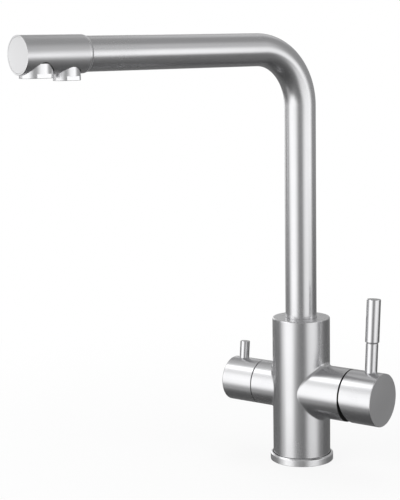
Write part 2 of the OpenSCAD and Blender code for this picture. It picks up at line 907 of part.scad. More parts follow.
module spout_tube() {
    color(steel) on_spout() difference() {
        spout_path(tube_r, tube_z, tube_end_x);
        spout_path(tube_r - tube_wall, tube_z, tube_end_x);
    }
}

// the grooves' heights on the foot
function seal_z(i) = foot_z + foot_seal_t / 2 + i * socket_depth * foot_seal_share;

module spout_foot() {
    color(brass) on_spout() difference() {
        union() {
            disc(tube_r, foot_z, tube_z);
            disc(tube_r - tube_wall - seat, foot_z, tube_z + foot_spigot_h);
        }
        disc(foot_bore_d / 2, foot_z - over, tube_z + foot_spigot_h + over);
        for (i = [0, 1])
            ring(tube_r - foot_seal_t, tube_r + over, seal_z(i), seal_z(i) + foot_seal_t);
        ring(tube_r - groove_depth, tube_r + over, screw_z - groove_h, screw_z + groove_h);
    }
}

module foot_seals() {
    color(rubber) on_spout()
        for (i = [0, 1])
            translate([0, 0, seal_z(i) + foot_seal_t / 2])
                rotate_extrude() translate([tube_r - foot_seal_t / 2, 0]) circle(d = foot_seal_t);
}

// holes in the head and the outlet block round both outlets
module outlet_holes(top_of_main, top_of_filter) {
    at_outlet(main_x) disc(main_outlet_d / 2 + outlet_gap, -head_d, top_of_main);
    at_outlet(filter_x) disc(filter_outlet_d / 2 + outlet_gap, -head_d, top_of_filter);
}

module spout_head() {
    color(steel) difference() {
        along_spout() rotate_extrude() polygon([
            [0, head_back_x], [tube_r + passing, head_back_x], [head_r, head_x],
            [head_r, spout_reach - cap_inset], [head_r - cap_inset, spout_reach], [0, spout_reach]
        ]);
        along_spout() {
            disc(tube_r + seat, head_back_x - over, tube_end_x);
            disc(cavity_r, tube_end_x - over, cap_x + over);
            disc(cap_r + seat, cap_x, spout_reach + over);
        }
        outlet_holes(main_shoulder, filter_shoulder);
    }
}

module head_cap() {
    color(steel) along_spout() disc(cap_r, cap_x, cap_x + cap_t);
}

// the block leads mains water to one outlet and filtered water to the other
module outlet_block() {
    way_r = hose_d / 4;
    way_at = hose_d * 0.9;
    chamber_top = way_at + way_r;
    color(plastic) difference() {
        along_spout() disc(cavity_r - seat, block_x, block_end_x);
        outlet_holes(main_shoulder, filter_shoulder);
        at_outlet(main_x) disc(main_neck_d / 2 + seat, main_shoulder - over, chamber_top);
        at_outlet(filter_x) disc(filter_neck_d / 2 + seat, filter_shoulder - over, -hose_d / 4);
        along_spout() disc(hose_d / 2 + seat, block_x - over, filter_x);
        along_spout()
            for (angle = [45, 135])
                rotate(angle) translate([way_at, 0, 0]) disc(way_r, block_x - over, main_x);
    }
}

// an outlet's housing: skirt with two spanner flats, and a neck that screws into the block
module outlet_housing(d, drop, shoulder, neck_d, bore_d) {
    top = shoulder - washer_t;
    difference() {
        union() {
            bar(d / 2, -drop, top, gap_bevel, gap_bevel);
            disc(neck_d / 2, top - seat, top + neck_len);
        }
        disc(bore_d / 2, -drop - over, -drop + aerator_inset + aerator_t);
        disc(neck_d / 2 - outlet_wall, -drop, top + neck_len + over);
        for (side = [-1, 1])
            translate([side * (d - flat_depth), 0, -drop + flat_h / 2 - over / 2])
                cube([d, d * 2, flat_h + over], center = true);
    }
}

// rings of holes through an aerator or a straight flow insert
module flow_holes(r, rings, from, to) {
    disc(aerator_hole_d / 2, from, to);
    for (k = [1 : rings], i = [0 : 6 * k - 1])
        rotate(i * 60 / k) translate([k * r / (rings + 1) * 1.15, 0, 0]) disc(aerator_hole_d / 2, from, to);
}

module main_outlet() {
    color(bright_steel) at_outlet(main_x)
        outlet_housing(main_outlet_d, main_outlet_drop, main_shoulder, main_neck_d,
                       main_outlet_d - outlet_wall * 2);
}

module main_aerator() {
    from = -main_outlet_drop + aerator_inset;
    r = main_outlet_d / 2 - outlet_wall - seat;
    color(plastic) at_outlet(main_x) difference() {
        disc(r, from, from + aerator_t);
        flow_holes(r, 2, from - over, from + aerator_t + over);
    }
}

module main_washer() {
    color(rubber) at_outlet(main_x)
        ring(main_neck_d / 2 + seat, main_outlet_d / 2 - gap_bevel, main_shoulder - washer_t, main_shoulder);
}

module filter_outlet() {
    color(bright_steel) at_outlet(filter_x)
        outlet_housing(filter_outlet_d, filter_outlet_drop, filter_shoulder, filter_neck_d,
                       filter_outlet_d - outlet_wall * 2);
}

module filter_insert() {
    from = -filter_outlet_drop + aerator_inset;
    r = filter_outlet_d / 2 - outlet_wall - seat;
    color(blue) at_outlet(filter_x) difference() {
        disc(r, from, from + aerator_t);
        flow_holes(r, 1, from - over, from + aerator_t + over);
    }
}

module filter_washer() {
    color(rubber) at_outlet(filter_x)
        ring(filter_neck_d / 2 + seat, filter_outlet_d / 2 - gap_bevel, filter_shoulder - washer_t,
             filter_shoulder);
}

module filter_hose() {
    color(blue) on_spout() difference() {
        spout_path(hose_d / 2, foot_z, filter_x - filter_neck_d / 2);
        spout_path(hose_d / 2 - hose_wall, foot_z, filter_x - filter_neck_d / 2);
    }
}

module hose_clip() {
    color(brass) along_spout() ring(hose_d / 2 + seat, hose_d / 2 + clip_t, block_x - clip_t * 2, block_x);
}

// what is drawn

base_ring();
base_gasket();
tap_body();
inlet_block();
upper_bush();
lower_bush();
foot_screw();
filter_nipple();
cartridge_base();
cartridge_seals();
fixed_disc();
cartridge_housing();
cartridge_nut();
mixer_gap_ring();
headwork_seal();
headwork_housing();
filter_fixed_disc();
headwork_nut();
filter_gap_ring();
cartridge_carrier();
pivot_pin();
moving_disc();
disc_driver();
mixer_hub();
lever_rod();
lever_grip();
mixer_spindle();
hub_screw();
hub_plug();
filter_knob();
filter_pin();
filter_spindle();
spindle_seal();
filter_moving_disc();
knob_screw();
spout_tube();
spout_foot();
foot_seals();
spout_head();
head_cap();
outlet_block();
main_outlet();
main_washer();
main_aerator();
filter_outlet();
filter_washer();
filter_insert();
filter_hose();
hose_clip();
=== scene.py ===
"""Looks of a three way filtered water tap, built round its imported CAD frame.

Every length is in metres, in the frame of the CAD: the origin lies under the column on its axis,
+Z is up, the mixer barrel runs along +X and the filter barrel along -X. The spout runs along -Y,
turned a little towards -X.
"""

import logging
import math
from dataclasses import dataclass, replace
from enum import Enum
from typing import Callable, ClassVar

import bpy
import numpy as np
from mathutils import Matrix, Vector


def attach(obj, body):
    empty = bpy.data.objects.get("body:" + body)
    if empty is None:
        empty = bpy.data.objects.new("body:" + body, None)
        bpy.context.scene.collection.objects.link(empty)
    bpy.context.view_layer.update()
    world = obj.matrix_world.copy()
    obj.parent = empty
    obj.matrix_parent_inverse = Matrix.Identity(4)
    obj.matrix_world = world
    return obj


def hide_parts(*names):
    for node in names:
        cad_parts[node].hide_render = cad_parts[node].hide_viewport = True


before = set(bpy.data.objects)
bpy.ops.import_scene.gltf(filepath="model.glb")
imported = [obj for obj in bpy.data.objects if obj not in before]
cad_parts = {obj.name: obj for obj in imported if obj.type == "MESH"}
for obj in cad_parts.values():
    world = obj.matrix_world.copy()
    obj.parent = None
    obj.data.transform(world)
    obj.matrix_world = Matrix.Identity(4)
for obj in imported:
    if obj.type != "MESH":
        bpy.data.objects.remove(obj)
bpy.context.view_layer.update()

LOG = logging.getLogger("tap")

Array = np.ndarray
Colour = tuple[float, float, float]
Corner = tuple[float, float, float]
Rim = Callable[[Array], Array]
TURN = 2.0 * math.pi
UP = np.array((0.0, 0.0, 1.0))
ALONG_X = np.array((1.0, 0.0, 0.0))

BARREL_AXIS_Z = 0.0637
LEVER_REACH = 0.0686
PIN_REACH = 0.062
MIXER_REST_TURN = math.radians(4.3)
MIXER_LIFT = math.radians(14.0)
FILTER_REST_TURN = math.radians(5.8)
SPOUT_REST_TURN = math.radians(15.0)
SPOUT_AXIS_Z = 0.358
MAIN_REACH = 0.2608
FILTERED_REACH = 0.2344
SPOUT_WAY = np.array((-math.sin(SPOUT_REST_TURN), -math.cos(SPOUT_REST_TURN), 0.0))
SPOUT_SIDE = np.array((math.cos(SPOUT_REST_TURN), -math.sin(SPOUT_REST_TURN), 0.0))


# surfaces


def unit(vectors: Array) -> Array:
    """The vectors at length one."""
    length = np.linalg.norm(vectors, axis=-1, keepdims=True)
    return vectors / np.maximum(length, 1e-12)


def leaning(turn: float) -> Array:
    """The direction up, leant over towards +Y."""
    return np.array((0.0, math.sin(turn), math.cos(turn)))


def full_turn(steps: int) -> Array:
    """The angles of one whole turn, in even steps."""
    return np.linspace(0.0, TURN, steps + 1)


def wrapped(angle: Array, size: float, way: Array) -> Array:
    """Grain coordinates: a circle of one size round the axis, then the way along.

    Brushed lines that follow them run round the piece, and no seam shows.
    """
    return np.stack(np.broadcast_arrays(np.cos(angle) * size, np.sin(angle) * size, way), axis=-1)


def grid_cells(shape: tuple[int, int], first: int = 0) -> Array:
    """The four corners of each cell of a grid of points.

    Args:
        shape: the grid's rows and columns.
        first: the number of its first point.

    Returns:
        The points' numbers, four for each cell.
    """
    index = first + np.arange(shape[0] * shape[1]).reshape(shape)
    corners = (index[:-1, :-1], index[1:, :-1], index[1:, 1:], index[:-1, 1:])
    return np.stack(corners, axis=-1).reshape(-1, 4)


@dataclass(frozen=True)
class Axes:
    """Where a turned shape starts, its axis, and the side from which angles round it are counted."""

    origin: Array
    axis: Array
    side: Array

    @property
    def other(self) -> Array:
        """The direction a quarter turn on from the side."""
        return np.cross(self.axis, self.side)

    def spokes(self, angle: Array) -> Array:
        """Directions straight out from the axis at each angle."""
        angle = np.asarray(angle, float)[..., None]
        return np.cos(angle) * self.side + np.sin(angle) * self.other

    def points(self, radius: Array, angle: Array, along: Array) -> Array:
        """Points at a radius, an angle and a way along the axis.

        A point is the origin, plus the axis times the way along, plus the spoke times the radius.

        Args:
            radius: distances from the axis.
            angle: angles round the axis, in radians.
            along: ways along the axis. The three arrays broadcast.

        Returns:
            The points, with one more dimension of three numbers.
        """
        radius, angle, along = np.broadcast_arrays(radius, angle, along)
        return self.origin + along[..., None] * self.axis + radius[..., None] * self.spokes(angle)

    def normals(self, outward: Array, angle: Array, along: Array) -> Array:
        """Unit directions with a share outward from the axis and a share along it."""
        outward, angle, along = np.broadcast_arrays(outward, angle, along)
        return unit(along[..., None] * self.axis + outward[..., None] * self.spokes(angle))


@dataclass(frozen=True)
class Profile:
    """Half of a turned shape's section, as points with their normals.

    The outside lies to the right of the way from each point to the next.
    """

    radius: Array
    along: Array
    out: Array
    on: Array
    worn: Array
    ROOM: ClassVar[float] = 0.49
    STRAIGHT: ClassVar[float] = 1e-3

    @classmethod
    def rounded(cls, corners: list[Corner], closed: bool = False, steps: int = 4) -> "Profile":
        """A line through corners, each rounded by an arc.

        An arc of radius q starts q times tan(half the turn) before its corner, and its points are its
        centre plus q times a normal that swings from one edge's normal to the next one's. It takes up
        just under half of each edge at most.

        Args:
            corners: (radius, way along, rounding) of each corner.
            closed: whether the last corner joins the first.
            steps: the number of steps in each arc.

        Returns:
            The profile, with arcs on outward corners marked as worn. Each arc's ends are there twice, so
            that the wear stops with the arc.
        """
        table = np.array(corners, float)
        spots, bends = table[:, :2], table[:, 2]
        if closed:
            middle = (spots[-1] + spots[0]) / 2.0
            spots = np.vstack((middle, spots, middle))
            bends = np.concatenate(([0.0], bends, [0.0]))
        ways = unit(np.diff(spots, axis=0))
        lengths = np.linalg.norm(np.diff(spots, axis=0), axis=1)
        outs = np.stack((ways[:, 1], -ways[:, 0]), axis=1)
        found = [np.array((*spots[0], *outs[0], 0.0))[None]]
        for i in range(1, len(spots) - 1):
            before, after = outs[i - 1], outs[i]
            turn = math.atan2(before[0] * after[1] - before[1] * after[0], float(before @ after))
            reach = bends[i] * math.tan(abs(turn) / 2.0)
            room = cls.ROOM * min(lengths[i - 1], lengths[i])
            bend = bends[i] * min(1.0, room / reach) if reach > 0.0 else 0.0
            if abs(turn) < cls.STRAIGHT or bend <= 0.0:
                found.append(np.array([(*spots[i], *before, 0.0), (*spots[i], *after, 0.0)]))
                continue
            sign = math.copysign(1.0, turn)
            start = spots[i] - ways[i - 1] * bend * math.tan(abs(turn) / 2.0)
            swing = np.linspace(0.0, turn, steps + 1)
            cos, sin = np.cos(swing), np.sin(swing)
            normal = np.stack((before[0] * cos - before[1] * sin, before[0] * sin + before[1] * cos), axis=1)
            arc = start - sign * before * bend + sign * normal * bend
            mark = np.full((steps + 3, 1), 1.0 if sign > 0 else 0.0)
            mark[[0, -1]] = 0.0
            ends = ((1, 1), (0, 0))
            found.append(np.hstack((np.pad(arc, ends, "edge"), np.pad(normal, ends, "edge"), mark)))
        found.append(np.array((*spots[-1], *outs[-1], 0.0))[None])
        return cls(*np.vstack(found).T)

    @property
    def length(self) -> Array:
        """The way along the profile to each of its points."""
        steps = np.hypot(np.diff(self.radius), np.diff(self.along))
        return np.concatenate(([0.0], np.cumsum(steps)))


@dataclass(frozen=True)
class Strip:
    """A grid of surface points with their normals, grain coordinates and wear."""

    points: Array
    normals: Array
    grain: Array
    worn: Array

    @classmethod
    def turned(cls, axes: Axes, profile: Profile, angles: Array) -> "Strip":
        """A profile turned round an axis.

        Args:
            axes: the axis and the side from which angles count.
            profile: the half section.
            angles: the angles of the grid's rows.

        Returns:
            A grid with a row for each angle and a column for each point of the profile.
        """
        angle = np.asarray(angles, float)[:, None]
        points = axes.points(profile.radius[None], angle, profile.along[None])
        normals = axes.normals(profile.out[None], angle, profile.on[None])
        worn = np.broadcast_to(profile.worn[None], points.shape[:2])
        return cls(points, normals, wrapped(angle, float(profile.radius.max()), profile.length[None]), worn)

    @classmethod
    def shaped(cls, points: Array, outward: Array, grain: Array, worn: Array) -> "Strip":
        """A grid whose normals come from its own points.

        A normal is the cross product of the steps along the rows and along the columns, turned to the
        side of the rough direction given.

        Args:
            points: the grid of points.
            outward: a rough outward direction at each point.
            grain: grain coordinates at each point.
            worn: wear at each point.

        Returns:
            The grid.
        """
        down, across = np.gradient(points, axis=0), np.gradient(points, axis=1)
        normals = unit(np.cross(down, across))
        side = np.sign((normals * outward).sum(axis=-1, keepdims=True))
        return cls(points, normals * np.where(side == 0.0, 1.0, side), grain, worn)


@dataclass
class Skin:
    """The strips of one piece, to be welded into one closed mesh."""

    name: str
    strips: list[Strip]
    WELD: ClassVar[float] = 2e-6
    OFF_GRID: ClassVar[float] = 0.37

    def gathered(self, part: str) -> Array:
        """One part of every strip, with a row for each point."""
        return np.concatenate([getattr(strip, part).reshape(strip.worn.size, -1) for strip in self.strips])

    def mesh(self) -> bpy.types.Mesh:
        """Welds the grids.

        Each cell of a grid gives four corners. Cells that look inwards are turned over, points that
        fall on one another become one, and a cell with two corners on one point becomes a triangle.

        Returns:
            The mesh, with its corner normals, grain coordinates and wear.
        """
        cells, first = [], 0
        for strip in self.strips:
            cells.append(grid_cells(strip.worn.shape, first))
            first += strip.worn.size
        cells = np.concatenate(cells)
        parts = ("points", "normals", "grain", "worn")
        points, normals, grain, worn = (self.gathered(part) for part in parts)

        looks = np.cross(points[cells[:, 2]] - points[cells[:, 0]], points[cells[:, 3]] - points[cells[:, 1]])
        inward = (looks * normals[cells].sum(axis=1)).sum(axis=-1) < 0.0
        cells[inward] = cells[inward][:, ::-1]

        keys = np.floor(points / self.WELD + self.OFF_GRID).astype(np.int64)
        _, kept, weld = np.unique(keys, axis=0, return_index=True, return_inverse=True)
        weld = weld.reshape(-1)
        repeats = weld[cells] == np.roll(weld[cells], -1, axis=1)
        count = repeats.sum(axis=1)
        fours = cells[count == 0]
        threes = cells[count == 1][~repeats[count == 1]].reshape(-1, 3)
        corners = np.concatenate((fours.reshape(-1), threes.reshape(-1)))

        mesh = bpy.data.meshes.new(self.name)
        mesh.from_pydata(points[kept].tolist(), [], weld[fours].tolist() + weld[threes].tolist())
        mesh.polygons.foreach_set("use_smooth", np.ones(len(mesh.polygons), bool))
        kept_grain = mesh.attributes.new("grain", "FLOAT_VECTOR", "CORNER")
        kept_grain.data.foreach_set("vector", grain[corners].ravel())
        kept_wear = mesh.attributes.new("worn", "FLOAT", "CORNER")
        kept_wear.data.foreach_set("value", worn[corners].ravel())
        mesh.normals_split_custom_set(normals[corners].tolist())
        self.report(mesh)
        return mesh

    def report(self, mesh: bpy.types.Mesh) -> None:
        """Logs the piece's triangles, and any edge that is open.

        Args:
            mesh: the piece's mesh.
        """
        uses = np.zeros(len(mesh.loops), np.int64)
        mesh.loops.foreach_get("edge_index", uses)
        open_edges = int((np.bincount(uses, minlength=len(mesh.edges)) != 2).sum())
        triangles = len(mesh.loops) - 2 * len(mesh.polygons)
        LOG.info("%s: %d triangles, %d open edges", self.name, triangles, open_edges)


class Meets(Enum):
    """How a pipe meets the side of a cylinder."""

    STANDS_ON = 1
    BORED_INTO = -1


@dataclass(frozen=True)
class Junction:
    """A round pipe or hole that meets the side of a cylinder, with a rolling ball's rounding between.

    The ball of radius q touches both surfaces. Its centre lies at the pipe's radius plus q from the
    pipe's axis, and at the cylinder's radius plus q from the cylinder's axis, or minus q for a hole.
    """

    axes: Axes
    radius: float
    angle: float
    along: float
    pipe: float
    rounding: float
    meets: Meets

    def pipe_axes(self) -> Axes:
        """The pipe's own axes: out of the cylinder, with angles counted from the cylinder's axis."""
        out = self.axes.spokes(self.angle)
        return Axes(self.axes.origin + self.axes.axis * self.along, out, self.axes.axis)

    def height(self, turn: Array) -> Array:
        """How far out the ball's centre lies at each angle round the pipe."""
        ball = self.radius + self.meets.value * self.rounding
        return np.sqrt(ball**2 - ((self.pipe + self.rounding) * np.sin(turn)) ** 2)

    def foot(self, turn: Array) -> tuple[Array, Array]:
        """Where the rounding touches the cylinder.

        The angle from the pipe's is the arc tangent of the ball centre's way aside over its height.

        Args:
            turn: the angles round the pipe.

        Returns:
            The angle round the cylinder and the way along it, for each of them.
        """
        reach = self.pipe + self.rounding
        angle = self.angle + np.arctan2(-reach * np.sin(turn), self.height(turn))
        return angle, self.along + reach * np.cos(turn)

    def rounding_strip(self, turn: Array, steps: int = 8) -> Strip:
        """The rounding from the cylinder to the pipe.

        A point is the ball's centre plus or minus the ball's radius times a normal, which swings at an
        even rate from the cylinder's normal to the pipe's.

        Args:
            turn: the angles round the pipe.
            steps: the number of steps over the rounding.

        Returns:
            The strip.
        """
        sign = self.meets.value
        pipe_axes = self.pipe_axes()
        centre = pipe_axes.points(self.pipe + self.rounding, turn, self.height(turn))
        on_cylinder = self.axes.spokes(self.foot(turn)[0])
        on_pipe = sign * pipe_axes.spokes(turn)
        swing = np.arccos(np.clip((on_cylinder * on_pipe).sum(axis=-1), -1.0, 1.0))[:, None, None]
        share = np.linspace(0.0, 1.0, steps + 1)[None, :, None]
        normals = unit(np.sin((1.0 - share) * swing) * on_cylinder[:, None]
                       + np.sin(share * swing) * on_pipe[:, None])
        points = centre[:, None] - sign * self.rounding * normals
        grain = wrapped(turn[:, None], self.pipe, share[..., 0] * self.rounding)
        worn = np.full(points.shape[:2], 1.0 if self.meets is Meets.BORED_INTO else 0.0)
        return Strip(points, normals, grain, worn)

    def pipe_strip(self, turn: Array, profile: Profile) -> Strip:
        """The pipe's side, ends and bore, from the rounding on.

        The profile's first point is moved to the height at which the rounding ends.

        Args:
            turn: the angles round the pipe.
            profile: the pipe's half section, with ways along it counted from the cylinder's axis.

        Returns:
            The strip.
        """
        strip = Strip.turned(self.pipe_axes(), profile, turn)
        points = strip.points.copy()
        points[:, 0] = self.pipe_axes().points(self.pipe, turn, self.height(turn))
        return replace(strip, points=points)


@dataclass(frozen=True)
class Window:
    """A piece of a cylinder's side round one junction, between two angles and two rims."""

    junction: Junction
    reach: float
    low: Rim
    high: Rim
    around: int = 64
    up: int = 40

    @property
    def angles(self) -> Array:
        """The angles at which the rims are sampled."""
        middle = self.junction.angle
        return np.linspace(middle - self.reach, middle + self.reach, self.around + 1)

    def border(self) -> tuple[Array, Array]:
        """The closed border: along the low rim, up, back along the high rim, and down.

        Returns:
            Its angles and its ways along, counted once round.
        """
        wide = self.angles
        tall = np.linspace(0.0, 1.0, self.up + 1)[1:-1]
        low, high = self.low(wide), self.high(wide)
        angles = (wide, np.full(tall.shape, wide[-1]), wide[::-1], np.full(tall.shape, wide[0]), wide[:1])
        ways = (low, low[-1] + (high[-1] - low[-1]) * tall, high[::-1],
                high[0] + (low[0] - high[0]) * tall, low[:1])
        return np.concatenate(angles), np.concatenate(ways)

    def turns(self) -> Array:
        """The angle round the pipe that belongs to each point of the border.

        On the unrolled side, it is the arc tangent of the point's way aside over its way up from the pipe.

        Returns:
            The angles, with no jump at half a turn.
        """
        angles, ways = self.border()
        aside = -self.junction.radius * (angles - self.junction.angle)
        return np.unwrap(np.arctan2(aside, ways - self.junction.along))

    def side_strip(self, steps: int = 24) -> Strip:
        """The cylinder's side from the junction to the border.

        On the unrolled side, a point lies on the straight line from the junction's foot to the border.

        Args:
            steps: the number of steps from the junction to the border.

        Returns:
            The strip.
        """
        foot_angle, foot_way = self.junction.foot(self.turns())
        edge_angle, edge_way = self.border()
        share = np.linspace(0.0, 1.0, steps + 1)[None]
        angle = foot_angle[:, None] * (1.0 - share) + edge_angle[:, None] * share
        way = foot_way[:, None] * (1.0 - share) + edge_way[:, None] * share
        radius, axes = self.junction.radius, self.junction.axes
        grain = wrapped(angle, radius, way)
        return Strip(axes.points(radius, angle, way), axes.spokes(angle), grain, np.zeros(angle.shape))

    def strips(self, profile: Profile) -> list[Strip]:
        """Everything round this window's pipe or hole.

        Args:
            profile: the pipe's half section.

        Returns:
            The side, the rounding and the pipe.
        """
        turn = self.turns()
        junction = self.junction
        return [self.side_strip(), junction.rounding_strip(turn), junction.pipe_strip(turn, profile)]


def level(height: float) -> Rim:
    """A rim at one height all round."""
    return lambda angles: np.full(angles.shape, height)


def pocket(mouth: float, *steps: tuple[float, float], edge: float = 0.0) -> list[Corner]:
    """The corners of a stepped blind hole.

    Args:
        mouth: the way along at which the hole opens.
        steps: the radius of each step and the way along at which it ends.
        edge: the rounding of the mouth.

    Returns:
        The corners from the mouth to the middle of the floor.
    """
    corners = []
    for radius, floor in steps:
        corners += [(radius, mouth, edge), (radius, floor, 0.0)]
        mouth, edge = floor, 0.0
    return corners + [(0.0, mouth, 0.0)]


def bored(axes: Axes, radius: float, angle: float, hole: Corner, edge: float) -> tuple[Junction, Profile]:
    """A blind hole in the side of a cylinder.

    Args:
        axes: the cylinder's axes.
        radius: the cylinder's radius.
        angle: the hole's angle round the cylinder.
        hole: the hole's way along, its radius, and how far its floor is from the cylinder's axis.
        edge: the rounding of its mouth.

    Returns:
        The junction and the hole's section.
    """
    along, size, floor = hole
    junction = Junction(axes, radius, angle, along, size, edge, Meets.BORED_INTO)
    return junction, Profile.rounded(pocket(radius, (size, floor)))


def half_sides(pipes: list[tuple[Junction, Profile]], low: Rim, high: Rim,
               up: int = 40) -> tuple[list[Strip], Array]:
    """Both halves of a cylinder's side, each round a pipe or hole of its own.

    Args:
        pipes: the junction and the section of each.
        low: the side's lower rim.
        high: the side's upper rim.
        up: the number of steps from rim to rim.

    Returns:
        The strips, and the angles of the rims' points, counted once round.
    """
    windows = [Window(junction, math.pi / 2.0, low, high, up=up) for junction, _ in pipes]
    strips = [strip for window, (_, section) in zip(windows, pipes) for strip in window.strips(section)]
    return strips, np.concatenate((windows[0].angles, windows[1].angles[1:]))


def facing(looks: Array, middles: Array, way: Array, tilt: float, beyond: float) -> Array:
    """The faces that look along a way by more than the tilt, and lie beyond a distance along it."""
    return (looks @ way > tilt) & (middles @ way > beyond)


def placed(name: str, data: bpy.types.ID) -> bpy.types.Object:
    """Puts a new object into the scene.

    Args:
        name: its name.
        data: its mesh, camera or light.

    Returns:
        The object.
    """
    made = bpy.data.objects.new(name, data)
    bpy.context.scene.collection.objects.link(made)
    return made


# finishes


class Pattern(Enum):
    """Where a finish's pattern takes its coordinates from."""

    GRAIN = "grain"
    OBJECT = "object"


class Wiring:
    """Adds nodes to one tree and joins them."""

    MIX_SHARE, MIX_FIRST, MIX_SECOND, MIX_RESULT = 0, 6, 7, 2

    def __init__(self, tree: bpy.types.NodeTree) -> None:
        """Takes the tree to work on."""
        self.tree = tree

    @classmethod
    def emptied(cls, owner: bpy.types.Material | bpy.types.World) -> "Wiring":
        """Turns on the owner's nodes and clears them away.

        Args:
            owner: a material or a world.

        Returns:
            The wiring of its tree.
        """
        owner.use_nodes = True
        owner.node_tree.nodes.clear()
        return cls(owner.node_tree)

    def feed(self, socket: bpy.types.NodeSocket, value: object) -> None:
        """Joins a socket to an input, or sets the input to a plain value.

        Args:
            socket: the input.
            value: another node's socket, or a plain value.
        """
        if isinstance(value, bpy.types.NodeSocket):
            self.tree.links.new(value, socket)
        else:
            socket.default_value = value

    def node(self, kind: str, inputs: dict[str, object] | None = None, **settings: object) -> bpy.types.Node:
        """Adds a node.

        Args:
            kind: the node's type.
            inputs: a socket or a plain value for each named input.
            settings: the node's own settings, made before its inputs.

        Returns:
            The node.
        """
        made = self.tree.nodes.new(kind)
        for name, value in settings.items():
            setattr(made, name, value)
        for name, value in (inputs or {}).items():
            self.feed(made.inputs[name], value)
        return made

    def noise(self, vector: bpy.types.NodeSocket, scale: object, **others: float) -> bpy.types.NodeSocket:
        """Noise at a scale, with the other inputs of its node by name."""
        return self.node("ShaderNodeTexNoise", {"Vector": vector, "Scale": scale, **others}).outputs["Fac"]

    def attribute(self, name: str, output: str) -> bpy.types.NodeSocket:
        """One of the mesh's own attributes."""
        return self.node("ShaderNodeAttribute", attribute_name=name).outputs[output]

    def reckon(self, operation: str, *values: object) -> bpy.types.NodeSocket:
        """Adds a Math node.

        Args:
            operation: what it works out.
            values: sockets or plain numbers, in the order of its inputs.

        Returns:
            Its result.
        """
        made = self.node("ShaderNodeMath", operation=operation)
        for socket, value in zip(made.inputs, values):
            self.feed(socket, value)
        return made.outputs[0]

    def blend(self, share: object, first: object, second: object) -> bpy.types.NodeSocket:
        """A colour between two colours.

        Args:
            share: a socket or number, 0 for the first colour and 1 for the second.
            first: a socket or an RGBA colour.
            second: a socket or an RGBA colour.

        Returns:
            The mixed colour.
        """
        made = self.node("ShaderNodeMix", data_type="RGBA")
        for place, value in ((self.MIX_SHARE, share), (self.MIX_FIRST, first), (self.MIX_SECOND, second)):
            self.feed(made.inputs[place], value)
        return made.outputs[self.MIX_RESULT]


Sockets = dict[str, bpy.types.NodeSocket]


class Effect:
    """A shader group that several finishes share. It is built once, and takes its name from its class."""

    inputs: ClassVar[dict[str, str]] = {"Vector": "Vector"}
    outputs: ClassVar[dict[str, str]] = {"Height": "Float", "Tone": "Float"}

    def wire(self, wiring: Wiring, given: Sockets) -> Sockets:
        """Adds the group's nodes.

        Args:
            wiring: the group's own tree.
            given: the group's inputs by name.

        Returns:
            What goes to each of the group's outputs.
        """
        raise NotImplementedError

    def tree(self) -> bpy.types.NodeTree:
        """The group's tree, built when it is first asked for.

        Returns:
            The tree, with its nodes joined.
        """
        name = type(self).__name__
        if name in bpy.data.node_groups:
            return bpy.data.node_groups[name]
        tree = bpy.data.node_groups.new(name, "ShaderNodeTree")
        for way, sockets in (("INPUT", self.inputs), ("OUTPUT", self.outputs)):
            for label, kind in sockets.items():
                tree.interface.new_socket(name=label, in_out=way, socket_type=f"NodeSocket{kind}")
        wiring = Wiring(tree)
        given = wiring.node("NodeGroupInput").outputs
        wiring.node("NodeGroupOutput", self.wire(wiring, {label: given[label] for label in self.inputs}))
        return tree

    def placed(self, wiring: Wiring, inputs: dict[str, object]) -> Sockets:
        """Places the group in a material with its own values, and gives its outputs by name."""
        made = wiring.node("ShaderNodeGroup", inputs, node_tree=self.tree())
        return {label: made.outputs[label] for label in self.outputs}


class BrushedLines(Effect):
    """Fine lines left by an abrasive belt, from stretched noise, with broader streaks among them."""

    FINE_SHARE, BROAD_SHARE, BROADER = 0.6, 0.4, 0.17

    def wire(self, wiring: Wiring, given: Sockets) -> Sockets:
        """The height is the fine noise, and the tone adds some of the same noise spread out.

        Args:
            wiring: the group's own tree.
            given: the place.

        Returns:
            The height and the tone.
        """
        fine = wiring.noise(given["Vector"], 1.0, Detail=3.0, Roughness=0.65)
        spread = wiring.node("ShaderNodeVectorMath", operation="SCALE")
        wiring.feed(spread.inputs[0], given["Vector"])
        wiring.feed(spread.inputs["Scale"], self.BROADER)
        broad = wiring.reckon("MULTIPLY", wiring.noise(spread.outputs[0], 1.0, Detail=1.0), self.BROAD_SHARE)
        return {"Height": fine, "Tone": wiring.reckon("MULTIPLY_ADD", fine, self.FINE_SHARE, broad)}


class WornEdges(Effect):
    """Edges rubbed brighter and smoother by hands, unevenly along their length."""

    PATCH_SCALE, UNEVEN, EVEN = 160.0, 0.8, 0.45
    inputs = {"Vector": "Vector", "Worn": "Float", "Colour": "Color", "Bare Colour": "Color",
              "Roughness": "Float", "Rubbed": "Float"}
    outputs = {"Colour": "Color", "Roughness": "Float"}

    def wire(self, wiring: Wiring, given: Sockets) -> Sockets:
        """The worn share is the wear times patchy noise, at most 1.

        Args:
            wiring: the group's own tree.
            given: the place, the wear, both colours, the roughness, and how much of it a bare edge loses.

        Returns:
            The colour and the roughness.
        """
        patches = wiring.noise(given["Vector"], self.PATCH_SCALE)
        uneven = wiring.reckon("MULTIPLY_ADD", patches, self.UNEVEN, self.EVEN)
        share = wiring.reckon("MINIMUM", wiring.reckon("MULTIPLY", given["Worn"], uneven), 1.0)
        rubbed = wiring.reckon("MULTIPLY", share, given["Rubbed"])
        return {"Colour": wiring.blend(share, given["Colour"], given["Bare Colour"]),
                "Roughness": wiring.reckon("SUBTRACT", given["Roughness"], rubbed)}


